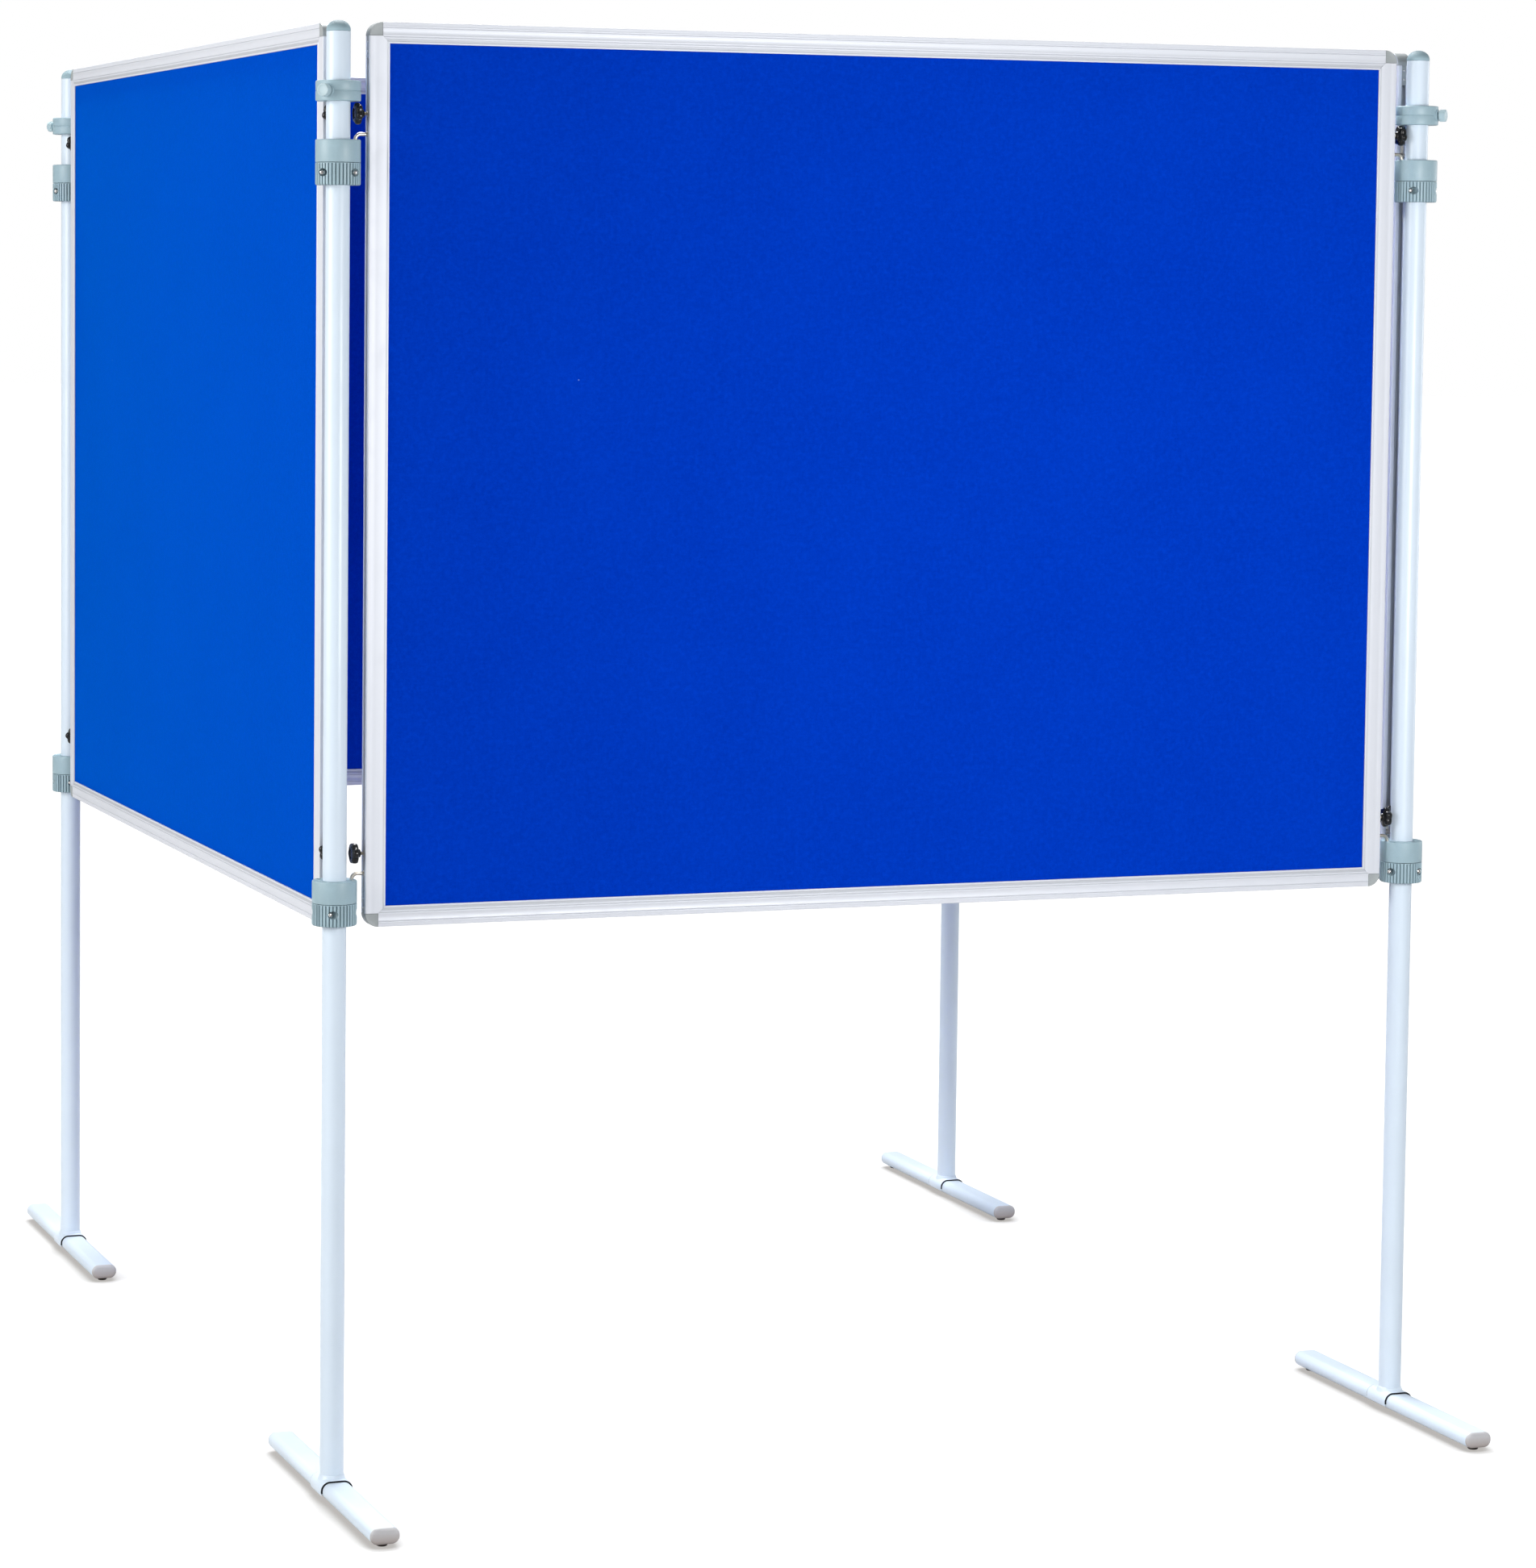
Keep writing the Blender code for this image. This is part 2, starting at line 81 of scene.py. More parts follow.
# ---- materials ---------------------------------------------------------------
class Look:
    """A Principled material, built up from small procedural parts in the piece's own coordinates."""

    def __init__(self, name, colour, roughness, metallic=0.0, **sockets):
        self.m = bpy.data.materials.new(name)
        self.m.use_nodes = True
        self.t = self.m.node_tree
        self.b = self.t.nodes["Principled BSDF"]
        self.b.inputs["Base Color"].default_value = (*colour, 1)
        self.b.inputs["Roughness"].default_value = roughness
        self.b.inputs["Metallic"].default_value = metallic
        for k, v in sockets.items():
            self.b.inputs[k.replace("_", " ")].default_value = v
        self.m.diffuse_color = (*colour, 1)
        self.coord = self.t.nodes.new("ShaderNodeTexCoord").outputs["Object"]

    def node(self, kind, **props):
        n = self.t.nodes.new(kind)
        for k, v in props.items():
            setattr(n, k, v)
        return n

    def link(self, a, b):
        self.t.links.new(a, b)

    def scaled(self, scale, turn=(0, 0, 0)):
        n = self.node("ShaderNodeMapping")
        n.inputs["Scale"].default_value = scale
        n.inputs["Rotation"].default_value = turn
        self.link(self.coord, n.inputs["Vector"])
        return n.outputs["Vector"]

    def noise(self, scale, detail=3.0, rough=0.55, stretch=None, distortion=0.0):
        n = self.node("ShaderNodeTexNoise")
        n.inputs["Scale"].default_value = scale
        n.inputs["Detail"].default_value = detail
        n.inputs["Roughness"].default_value = rough
        n.inputs["Distortion"].default_value = distortion
        self.link(self.scaled(stretch) if stretch else self.coord, n.inputs["Vector"])
        return n.outputs["Fac"]

    def remap(self, value, a0, a1, b0, b1):
        n = self.node("ShaderNodeMapRange")
        for k, v in zip(("From Min", "From Max", "To Min", "To Max"), (a0, a1, b0, b1)):
            n.inputs[k].default_value = v
        self.link(value, n.inputs["Value"])
        return n.outputs["Result"]

    def math(self, op, a, b):
        n = self.node("ShaderNodeMath", operation=op)
        for s, v in zip(n.inputs, (a, b)):
            if isinstance(v, (int, float)):
                s.default_value = v
            else:
                self.link(v, s)
        return n.outputs[0]

    def mix(self, fac, a, b):
        n = self.node("ShaderNodeMix", data_type="RGBA")
        self.link(fac, n.inputs["Factor"])
        for s, v in ((n.inputs[6], a), (n.inputs[7], b)):
            if isinstance(v, tuple):
                s.default_value = (*v, 1)
            else:
                self.link(v, s)
        return n.outputs[2]

    def colour(self, out):
        self.link(out, self.b.inputs["Base Color"])

    def rough(self, out):
        self.link(out, self.b.inputs["Roughness"])

    def bump(self, height, strength, distance, under=None):
        n = self.node("ShaderNodeBump")
        n.inputs["Strength"].default_value = strength
        n.inputs["Distance"].default_value = distance
        self.link(height, n.inputs["Height"])
        if under is not None:
            self.link(under, n.inputs["Normal"])
        self.link(n.outputs["Normal"], self.b.inputs["Normal"])
        return n.outputs["Normal"]


def aluminium(name, tint):
    """Satin anodised extrusion: die lines along X, faint handling marks, roughness that follows them."""
    k = Look(name, tint, 0.46, 0.14, Specular_IOR_Level=0.22)
    die = k.noise(1.0, 2, 0.6, stretch=(0.08, 2600.0, 2600.0))
    broad = k.noise(1.0, 2, 0.5, stretch=(0.03, 260.0, 260.0))
    marks = k.noise(38.0, 4, 0.65)
    lines = k.math("ADD", k.remap(die, 0.3, 0.7, 0.0, 0.6), k.remap(broad, 0.3, 0.7, 0.0, 0.4))
    low = tuple(c * 0.95 for c in tint)
    high = tuple(min(1.0, c * 1.03) for c in tint)
    c = k.mix(k.math("MULTIPLY", lines, k.remap(marks, 0.3, 0.75, 1.0, 0.75)), low, high)
    # painted shade darkens the drawn grooves, which lie a little below the two faces
    split = k.node("ShaderNodeSeparateXYZ")
    k.link(k.coord, split.inputs["Vector"])
    painted_groove_shade = k.remap(k.math("ABSOLUTE", split.outputs["Y"], 0.0), 9.2 * MM, 9.55 * MM, 0.36, 0.0)
    groove_shade_extent = k.remap(split.outputs["Z"], -2.6 * MM, -2.0 * MM, 1.0, 0.0)
    k.colour(k.mix(k.math("MULTIPLY", painted_groove_shade, groove_shade_extent), c, tuple(x * 0.3 for x in tint)))
    k.rough(k.math("ADD", k.remap(lines, 0.0, 1.0, 0.42, 0.52), k.remap(marks, 0.55, 0.8, 0.0, 0.08)))
    k.bump(die, 0.08, 0.0001)
    return k.m


def felt(name, dark, mid, light, sheen):
    """Needled felt: matted short fibres, soft mottling, a few paler hairs and lint, and a pile that lightens at a slant."""
    k = Look(name, mid, 0.95, 0.0, Sheen_Weight=sheen, Sheen_Roughness=0.45, Specular_IOR_Level=0.0)
    k.b.inputs["Sheen Tint"].default_value = (0.0, 0.42, 1.0, 1)
    fibre = k.noise(620.0, 5, 0.7, distortion=1.4)
    hair_a = k.noise(1.0, 3, 0.6, stretch=(260.0, 900.0, 90.0), distortion=0.8)
    hair_b = k.noise(1.0, 3, 0.6, stretch=(90.0, 900.0, 300.0), distortion=0.8)
    clump = k.noise(150.0, 4, 0.6)
    cloud = k.noise(5.5, 3, 0.5)
    pile = k.math("ADD", k.math("MULTIPLY", fibre, 0.5), k.math("MULTIPLY", k.math("ADD", hair_a, hair_b), 0.25))
    c = k.mix(k.remap(pile, 0.36, 0.64, 0.0, 1.0), dark, mid)
    c = k.mix(k.remap(clump, 0.45, 0.8, 0.0, 0.42), c, light)
    c = k.mix(k.remap(cloud, 0.35, 0.7, 0.0, 0.12), c, light)
    lint = k.node("ShaderNodeTexVoronoi", feature="F1")
    lint.inputs["Scale"].default_value = 9.0
    k.link(k.coord, lint.inputs["Vector"])
    speck = k.remap(lint.outputs["Distance"], 0.004, 0.012, 0.55, 0.0)
    c = k.mix(speck, c, (0.22, 0.36, 0.72))
    k.colour(c)
    n = k.bump(pile, 0.55, 0.0007)
    k.bump(clump, 0.3, 0.0006, under=n)
    return k.m


def powder(name, tint):
    """Smooth powder coat: fine orange peel, a slightly uneven tone and soft gloss."""
    k = Look(name, tint, 0.36, 0.0, Specular_IOR_Level=0.4, Coat_Weight=0.12, Coat_Roughness=0.25)
    tone = k.noise(7.0, 3, 0.5)
    grime = k.noise(55.0, 5, 0.7)
    low = tuple(c * 0.955 for c in tint)
    c = k.mix(k.remap(tone, 0.3, 0.7, 0.0, 1.0), low, tint)
    c = k.mix(k.remap(grime, 0.62, 0.85, 0.0, 0.35), c, tuple(x * 0.9 for x in tint))
    k.colour(c)
    k.rough(k.remap(k.noise(18.0, 4, 0.6), 0.3, 0.7, 0.29, 0.41))
    k.bump(k.noise(430.0, 2, 0.5), 0.10, 0.0002)
    return k.m


def moulded(name, tint, roughness=0.46, speck=0.06, edge=1.06, shade_hollow=None, lower=None, between=(0.008, 0.021), gloss=0.45):
    """Moulded plastic: eroded mould texture, faint flow marks and slightly polished high spots.

    hollow is a radius about the piece's Z axis below which the colour is darkened as painted shade, lower a tint for
    its lower part, which gives way to the other between two heights as a painted shading by height."""
    k = Look(name, tint, roughness, 0.0, Specular_IOR_Level=gloss)
    grain = k.noise(1500.0, 3, 0.6)
    flow = k.noise(60.0, 3, 0.6, distortion=0.7)
    low = tuple(c * (1 - speck) for c in tint)
    high = tuple(min(1.0, c * edge) for c in tint)
    c = k.mix(k.remap(grain, 0.35, 0.65, 0.0, 1.0), low, tint)
    c = k.mix(k.remap(flow, 0.45, 0.75, 0.0, 0.8), c, high)
    # painted shade: darker inside the given radius, in the grooves between the ribs and in the bore
    if shade_hollow:
        flat = k.node("ShaderNodeVectorMath", operation="MULTIPLY")
        flat.inputs[1].default_value = (1.0, 1.0, 0.0)
        k.link(k.coord, flat.inputs[0])
        size = k.node("ShaderNodeVectorMath", operation="LENGTH")
        k.link(flat.outputs["Vector"], size.inputs[0])
        c = k.mix(k.remap(size.outputs["Value"], shade_hollow - 1.0 * MM, shade_hollow, 0.6, 0.0), c, tuple(x * 0.45 for x in tint))
    # painted shading by height: the lower part takes another tint than the upper
    if lower:
        split = k.node("ShaderNodeSeparateXYZ")
        k.link(k.coord, split.inputs["Vector"])
        c = k.mix(k.remap(split.outputs["Z"], between[0], between[1], 1.0, 0.0), c, lower)
    k.colour(c)
    k.rough(k.remap(flow, 0.3, 0.7, roughness - 0.05, roughness + 0.06))
    k.bump(grain, 0.18, 0.00018)
    return k.m


def metal(name, tint, roughness):
    """Zinc-plated steel: bright, with fine turning marks and dull patches."""
    k = Look(name, tint, roughness, 1.0)
    patch = k.noise(240.0, 4, 0.65)
    low = tuple(c * 0.82 for c in tint)
    k.colour(k.mix(k.remap(patch, 0.35, 0.7, 0.0, 1.0), tint, low))
    k.rough(k.remap(patch, 0.3, 0.7, roughness * 0.8, roughness * 1.5))
    k.bump(k.noise(2200.0, 2, 0.5), 0.08, 0.0001)
    return k.m


def fibreboard(name):
    """Soft fibreboard core, pale brown with short chips."""
    k = Look(name, (0.42, 0.31, 0.20), 0.9)
    chip = k.noise(420.0, 4, 0.7, distortion=0.6)
    k.colour(k.mix(k.remap(chip, 0.35, 0.65, 0.0, 1.0), (0.34, 0.24, 0.15), (0.52, 0.40, 0.27)))
    k.bump(chip, 0.4, 0.0005)
    return k.m


ALU = aluminium("satin_anodised_aluminium", (0.715, 0.74, 0.80))
FELT = felt("blue_pinboard_felt", (0.0, 0.026, 0.39), (0.0005, 0.039, 0.515), (0.001, 0.056, 0.635), 0.52)
PAINT = powder("pale_powder_coat", (0.685, 0.785, 0.89))
GREY = moulded("grey_green_moulding", (0.33, 0.46, 0.52), 0.44)
# painted shade: the dome's upper part is tinted darker than its lower part, to hold back the overhead lamp's highlight
DOME_SHADED_GREY = moulded("dome_cap_moulding_shaded_top", (0.17, 0.235, 0.265), 0.6, lower=(0.33, 0.46, 0.52), between=(1.9605, 1.9715), gloss=0.2)
THUMB_GREY = moulded("thumbscrew_moulding", (0.42, 0.55, 0.60), 0.4)
# the clamp's grooves are darkened as painted shade
CLAMP_GREY = moulded("ribbed_clamp_moulding_shaded_grooves", (0.33, 0.46, 0.52), 0.44, shade_hollow=29.5 * MM)
CAP_GREY = moulded("corner_cap_moulding", (0.36, 0.39, 0.40), 0.48)
# painted shade with a warm painted reflection: the end caps' lower part is tinted darker and warmer than the upper
END_SHADED_GREY = moulded("foot_end_moulding_shaded_lower", (0.53, 0.53, 0.545), 0.42, lower=(0.40, 0.355, 0.34))
BLACK = moulded("black_knob_moulding", (0.007, 0.007, 0.008), 0.22, speck=0.25, edge=1.4)
RUBBER = moulded("brown_glide_rubber", (0.035, 0.022, 0.017), 0.6)
# painted shade: a near-black liner that stands in for the shadow in the gap under the saddle
SHADE_LINER = moulded("saddle_liner_painted_shade", (0.002, 0.004, 0.008), 0.85)
STEEL = metal("bright_zinc_steel", (0.82, 0.81, 0.80), 0.22)
HOOK_STEEL = metal("passivated_hook_steel", (0.66, 0.61, 0.54), 0.3)
CORE = fibreboard("fibreboard_core")


# ---- mesh making -------------------------------------------------------------
def mesh(name, verts, faces, angle=32.0, weld=0.000001):
    """A closed mesh with outward faces, smooth but for edges sharper than the angle."""
    me = bpy.data.meshes.new(name)
    me.from_pydata([tuple(v) for v in verts], [], [tuple(f) for f in faces])
    bm = bmesh.new()
    bm.from_mesh(me)
    bmesh.ops.remove_doubles(bm, verts=bm.verts, dist=weld)
    bmesh.ops.recalc_face_normals(bm, faces=bm.faces)
    bm.to_mesh(me)
    bm.free()
    me.shade_smooth()
    me.set_sharp_from_angle(angle=math.radians(angle))
    return me


def loft(rings, closed=True, caps=True, loop=False):
    """Quads between rings of equal length. closed joins each ring's ends, loop joins the last ring to the first."""
    n = len(rings[0])
    verts = [p for r in rings for p in r]
    faces = []
    last = len(rings) if loop else len(rings) - 1
    for i in range(last):
        a, b = i * n, ((i + 1) % len(rings)) * n
        for j in range(n if closed else n - 1):
            k = (j + 1) % n
            faces.append((a + j, a + k, b + k, b + j))
    if caps and not loop:
        faces.append(tuple(range(n))[::-1])
        faces.append(tuple(range((len(rings) - 1) * n, len(rings) * n)))
    return verts, faces


def lathe(profile, steps, closed=False):
    """(radius, height) pairs turned about Z. An open profile starts and ends on the axis."""
    rings = []
    for r, z in profile:
        r = max(r, 1e-7)
        rings.append([(r * math.cos(2 * PI * i / steps), r * math.sin(2 * PI * i / steps), z) for i in range(steps)])
    v, f = loft(rings, caps=False, loop=closed)
    return v, f


def turned(name, profile, steps=48, closed=False, angle=32.0):
    """Lathe as a mesh. The rings at radius zero weld into one point each."""
    v, f = lathe(profile, steps, closed)
    me = bpy.data.meshes.new(name)
    me.from_pydata(v, [], f)
    bm = bmesh.new()
    bm.from_mesh(me)
    bmesh.ops.remove_doubles(bm, verts=bm.verts, dist=0.0000015)
    bad = [x for x in bm.faces if x.calc_area() < 1e-14]
    bmesh.ops.delete(bm, geom=bad, context="FACES_ONLY")
    bmesh.ops.recalc_face_normals(bm, faces=bm.faces)
    bm.to_mesh(me)
    bm.free()
    me.shade_smooth()
    me.set_sharp_from_angle(angle=math.radians(angle))
    return me


def rounded(profile, radii, n=4):
    """Rounds the corners of a closed (a, b) loop; radii gives one radius a corner, 0 to keep it sharp."""
    out = []
    m = len(profile)
    for i, (p, r) in enumerate(zip(profile, radii)):
        if r <= 0:
            out.append(p)
            continue
        p = Vector(p)
        a, b = Vector(profile[i - 1]) - p, Vector(profile[(i + 1) % m]) - p
        half = a.angle(b) / 2
        t = min(r / math.tan(half), a.length * 0.49, b.length * 0.49)
        rr = t * math.tan(half)
        a.normalize()
        b.normalize()
        c = p + (a + b).normalized() * (rr / math.sin(half))
        s, e = p + a * t - c, p + b * t - c
        turn = s.angle_signed(e)
        for j in range(n + 1):
            q = s.copy()
            q.rotate(Matrix.Rotation(-turn * j / n, 2))
            out.append(tuple(c + q))
    return out


def sweep(points, radius, sides=16):
    """A round rod along a path, with slightly rounded ends."""
    pts = [Vector(p) for p in points]
    tan = [(pts[min(i + 1, len(pts) - 1)] - pts[max(i - 1, 0)]).normalized() for i in range(len(pts))]
    up = Vector((0, 1, 0))
    rings = []
    for i, (p, t) in enumerate(zip(pts, tan)):
        u = (up - t * up.dot(t)).normalized()
        w = t.cross(u)
        r = radius * (0.72 if i in (0, len(pts) - 1) else 1.0)
        rings.append([tuple(p + (u * math.cos(2 * PI * k / sides) + w * math.sin(2 * PI * k / sides)) * r) for k in range(sides)])
    return loft(rings)


def boolean(me, cutter, operation="DIFFERENCE", angle=32.0):
    """Exact boolean between two meshes, applied."""
    a = bpy.data.objects.new("a", me)
    b = bpy.data.objects.new("b", cutter)
    for o in (a, b):
        bpy.context.scene.collection.objects.link(o)
    mod = a.modifiers.new("Boolean", "BOOLEAN")
    mod.operation = operation
    mod.solver = "EXACT"
    mod.object = b
    bpy.context.view_layer.update()
    dg = bpy.context.evaluated_depsgraph_get()
    new = bpy.data.meshes.new_from_object(a.evaluated_get(dg))
    bpy.data.objects.remove(a)
    bpy.data.objects.remove(b)
    new.name = me.name
    new.shade_smooth()
    new.set_sharp_from_angle(angle=math.radians(angle))
    return new


def joined(name, *meshes, angle=32.0):
    """Several (mesh, matrix) pairs as one mesh."""
    bm = bmesh.new()
    for me, mx in meshes:
        tmp = me.copy()
        tmp.transform(mx)
        bm.from_mesh(tmp)
        bpy.data.meshes.remove(tmp)
    out = bpy.data.meshes.new(name)
    bm.to_mesh(out)
    bm.free()
    out.shade_smooth()
    out.set_sharp_from_angle(angle=math.radians(angle))
    return out


def cylinder(radius, z0, z1, steps=32, chamfer=0.0):
    profile = [(0, z1), (radius, z1), (radius, z0), (0, z0)]
    if chamfer:
        profile = [(0, z1), (radius - chamfer, z1), (radius, z1 - chamfer), (radius, z0 + chamfer), (radius - chamfer, z0), (0, z0)]
    return turned("cylinder", profile, steps)


def oval(w, h, r, n=10):
    pts = []
    for cx, cz, a0 in ((1, 1, 0), (-1, 1, 90), (-1, -1, 180), (1, -1, 270)):
        for i in range(n + 1):
            a = math.radians(a0 + 90 * i / n)
            pts.append((cx * (w / 2 - r) + r * math.cos(a), cz * (h / 2 - r) + r * math.sin(a)))
    return pts


def piece(name, me, material, matrix, body, slot, *nodes):
    """Places a mesh as a piece that rides on a body, takes a finish and stands for CAD nodes."""
    o = bpy.data.objects.new(name, me)
    bpy.context.scene.collection.objects.link(o)
    if not me.materials:
        me.materials.append(material)
    o.matrix_world = matrix
    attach(o, body)
    if nodes:
        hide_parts(*nodes)
    return o


# ---- frame sections ------------------------------------------------------------
# (distance from the rail's outer edge, depth below the frame's face), in millimetres
LEVEL_FACE = [
    (0.0, 1.3), (0.12, 0.85), (0.45, 0.5), (0.95, 0.33), (1.6, 0.28), (4.4, 0.28), (4.8, 0.2), (5.1, 0.04), (5.4, 0.0),
    (6.15, 0.0), (6.4, 0.06), (6.55, 0.3), (6.65, 0.75), (7.3, 0.78), (7.42, 0.4), (7.6, 0.08), (7.9, 0.0), (8.7, 0.0), (9.1, 0.1), (9.5, 0.28),
    (12.8, 0.34), (16.0, 0.28), (16.4, 0.1), (16.8, 0.0), (18.0, 0.0), (18.25, 0.05), (18.4, 0.35), (18.5, 0.78), (19.2, 0.8), (19.32, 0.4),
    (19.5, 0.08), (19.8, 0.0), (21.0, 0.0), (21.3, 0.08), (21.5, 0.4), (21.62, 0.85), (23.4, 0.95), (25.1, 0.85), (25.25, 0.45), (25.5, 0.1), (25.9, 0.0),
    (27.1, 0.0), (27.5, 0.12), (27.82, 0.5), (27.95, 1.0), (28.0, 1.8),
]
UPRIGHT_FACE = [
    (0.0, 1.3), (0.12, 0.85), (0.45, 0.5), (0.95, 0.34), (1.6, 0.28), (5.6, 0.24), (6.3, 0.32), (10.6, 0.36), (11.4, 0.27), (17.0, 0.24), (18.0, 0.24),
    (20.5, 0.28), (23.2, 0.5), (24.7, 0.72), (25.0, 0.5), (25.25, 0.14), (25.7, 0.0), (27.1, 0.0), (27.5, 0.12), (27.82, 0.5), (27.95, 1.0), (28.0, 1.8),
]


def rail(name, length, slotted):
    """One mitred length. X runs along it, Z points to the board's outside, -Y is one face. The outer 18 mm stop at the corner cap."""
    face = UPRIGHT_FACE if slotted else LEVEL_FACE
    split = [d for d, _ in face].index(18.0)
    front = [(d, -(10.0 - h)) for d, h in face]
    back = [(d, 10.0 - h) for d, h in face]
    inner = 8.05
    outer_wall = []
    if slotted:
        m, c = 3.2, 6.0
        outer_wall = [(0.0, m + 0.35), (0.12, m + 0.1), (0.4, m), (1.6, m), (1.6, c), (6.4, c), (6.4, -c), (1.6, -c), (1.6, -m), (0.4, -m), (0.12, -m - 0.1), (0.0, -m - 0.35)]
    n = len(front)
    section = front + [(28.0, -inner), (18.0, -inner), (8.0, -inner), (8.0, inner), (18.0, inner), (28.0, inner)] + back[::-1] + outer_wall
    half = length / 2 / MM
    gap = 0.15

    def x_end(d):
        return half - max(18.0, d) - gap

    count = len(section)
    verts = []
    for s in (-1, 1):
        for d, y in section:
            verts.append((s * x_end(d) * MM, y * MM, -d * MM))
    faces = []
    for j in range(count):
        k = (j + 1) % count
        faces.append((j, k, count + k, count + j))
    i_front = list(range(0, split + 1))
    i_lip = list(range(split, n))
    b0 = n + 6
    back_lip = list(range(b0, b0 + (n - split)))
    back_outer = list(range(b0 + (n - split) - 1, b0 + n))
    walls = list(range(b0 + n, count))
    c_poly = i_front + [n + 1, n + 2, n + 3, n + 4] + back_outer + walls
    lip_a = i_lip + [n, n + 1]
    lip_b = [n + 4, n + 5] + back_lip
    for poly in (c_poly, lip_a, lip_b):
        faces.append(tuple(poly[::-1]))
        faces.append(tuple(count + i for i in poly))
    return mesh(name, verts, faces, angle=24, weld=1e-8)


def corner_cap():
    """Quarter-round cap at a top right corner (X right, Z up, corner at the origin) with the leg that fills the upright's slot."""
    r = CAP / MM
    g = 0.12
    pts = [(-r + g, -r + g)]
    n = 20
    for i in range(n + 1):
        a = PI / 2 * i / n
        pts.append((-r + (r - 0.0) * math.cos(a) + (g if i == n else 0), -r + (r - 0.0) * math.sin(a) + (g if i == 0 else 0)))
    rings = []
    # an inset loop near each face gives the soft rim
    for y, inset in ((-9.72, 1.1), (-9.9, 0.45), (-9.62, 0.12), (-9.2, 0.0), (9.2, 0.0), (9.62, 0.12), (9.9, 0.45), (9.72, 1.1)):
        ring = []
        for x, z in pts:
            cx, cz = -r * 0.62, -r * 0.62
            v = Vector((x - cx, z - cz))
            k = max(0.0, 1 - inset / max(v.length, 1e-6))
            ring.append(((cx + v.x * k) * MM, y * MM, (cz + v.y * k) * MM))
        rings.append(ring)
    body = mesh("corner_cap", *loft(rings), angle=38)
    leg = rounded([(0.25, -17.0), (0.25, -47.0), (6.2, -47.0), (6.2, -17.0)], [0, 1.2, 0, 0])
    rings = [[(-d * MM, y * MM, z * MM) for d, z in leg] for y in (-3.05, 3.05)]
    strip = mesh("leg", *loft(rings))
    tab = rounded([(-2.2, -17.5), (-2.2, -44.0), (-6.1, -44.0), (-6.1, -17.5)], [0, 0, 0, 0])
    rings = [[(d * MM, y * MM, z * MM) for d, z in tab] for y in (-5.8, 5.8)]
    wide = mesh("tab", *loft(rings))
    strip = boolean(strip, wide, "UNION")
    return boolean(body, strip, "UNION", angle=38)


def rivets():
    """Two blind rivets through the cap's leg, at 25.5 and 38.5 mm from the corner."""
    dome = turned("dome", [(0, 0.75 * MM), (0.8 * MM, 0.66 * MM), (1.35 * MM, 0.4 * MM), (1.6 * MM, 0.05 * MM), (1.6 * MM, -0.3 * MM), (1.15 * MM, -0.3 * MM), (1.15 * MM, -5 * MM), (0, -5 * MM)], 20)
    return joined("rivets", *[(dome, T((0.1 * MM, 0, z * MM)) @ R(90, "Y")) for z in (-25.5, -38.5)])


def felt_sheet():
    """One felt face, X wide and Z high, laid over the core with its rim rolled under the frame's lip; its face looks along -Y."""
    w, h = (SIDE - CAP - 1 * MM), (HEIGHT / 2 - CAP - 1 * MM)
    nx, nz = 74, 58
    rng = np.random.default_rng(5)
    waves = [(rng.uniform(2, 9), rng.uniform(2, 9), rng.uniform(0, 2 * PI), rng.uniform(0.01, 0.035)) for _ in range(7)]

    def ease(t):
        return math.copysign(1 - (1 - abs(t)) ** 1.35, t)

    front = []
    for j in range(nz + 1):
        for i in range(nx + 1):
            x, z = w * ease(2 * i / nx - 1), h * ease(2 * j / nz - 1)
            edge = min(w - abs(x), h - abs(z))
            y = -FELT_Y + 0.9 * MM * (1 - min(1.0, edge / (6 * MM))) ** 2
            y += sum(a * MM * math.sin(p * x + q * z + f) for p, q, f, a in waves)
            front.append((x, y, z))
    faces = []
    for j in range(nz):
        for i in range(nx):
            a = j * (nx + 1) + i
            faces.append((a, a + 1, a + nx + 2, a + nx + 1))
    rim = [i for i in range(nx + 1)] + [j * (nx + 1) + nx for j in range(1, nz + 1)]
    rim += [nz * (nx + 1) + i for i in range(nx - 1, -1, -1)] + [j * (nx + 1) for j in range(nz - 1, 0, -1)]
    base = len(front)
    back = [(front[i][0], -5.6 * MM, front[i][2]) for i in rim]
    n = len(rim)
    for k in range(n):
        m = (k + 1) % n
        faces.append((rim[k], base + k, base + m, rim[m]))
    faces.append(tuple(range(base, base + n)))
    return mesh("felt_sheet", front + back, faces, angle=40)


def core_slab():
    w, h, c = SIDE - 9 * MM, HEIGHT / 2 - 9 * MM, 11 * MM
    pts = [(-w + c, -h), (w - c, -h), (w, -h + c), (w, h - c), (w - c, h), (-w + c, h), (-w, h - c), (-w, -h + c)]
    rings = [[(x * k, y * MM, z * k) for x, z in pts] for y, k in ((-5.5, 0.9995), (-5.2, 1.0), (5.2, 1.0), (5.5, 0.9995))]
    return mesh("core_slab", *loft(rings))


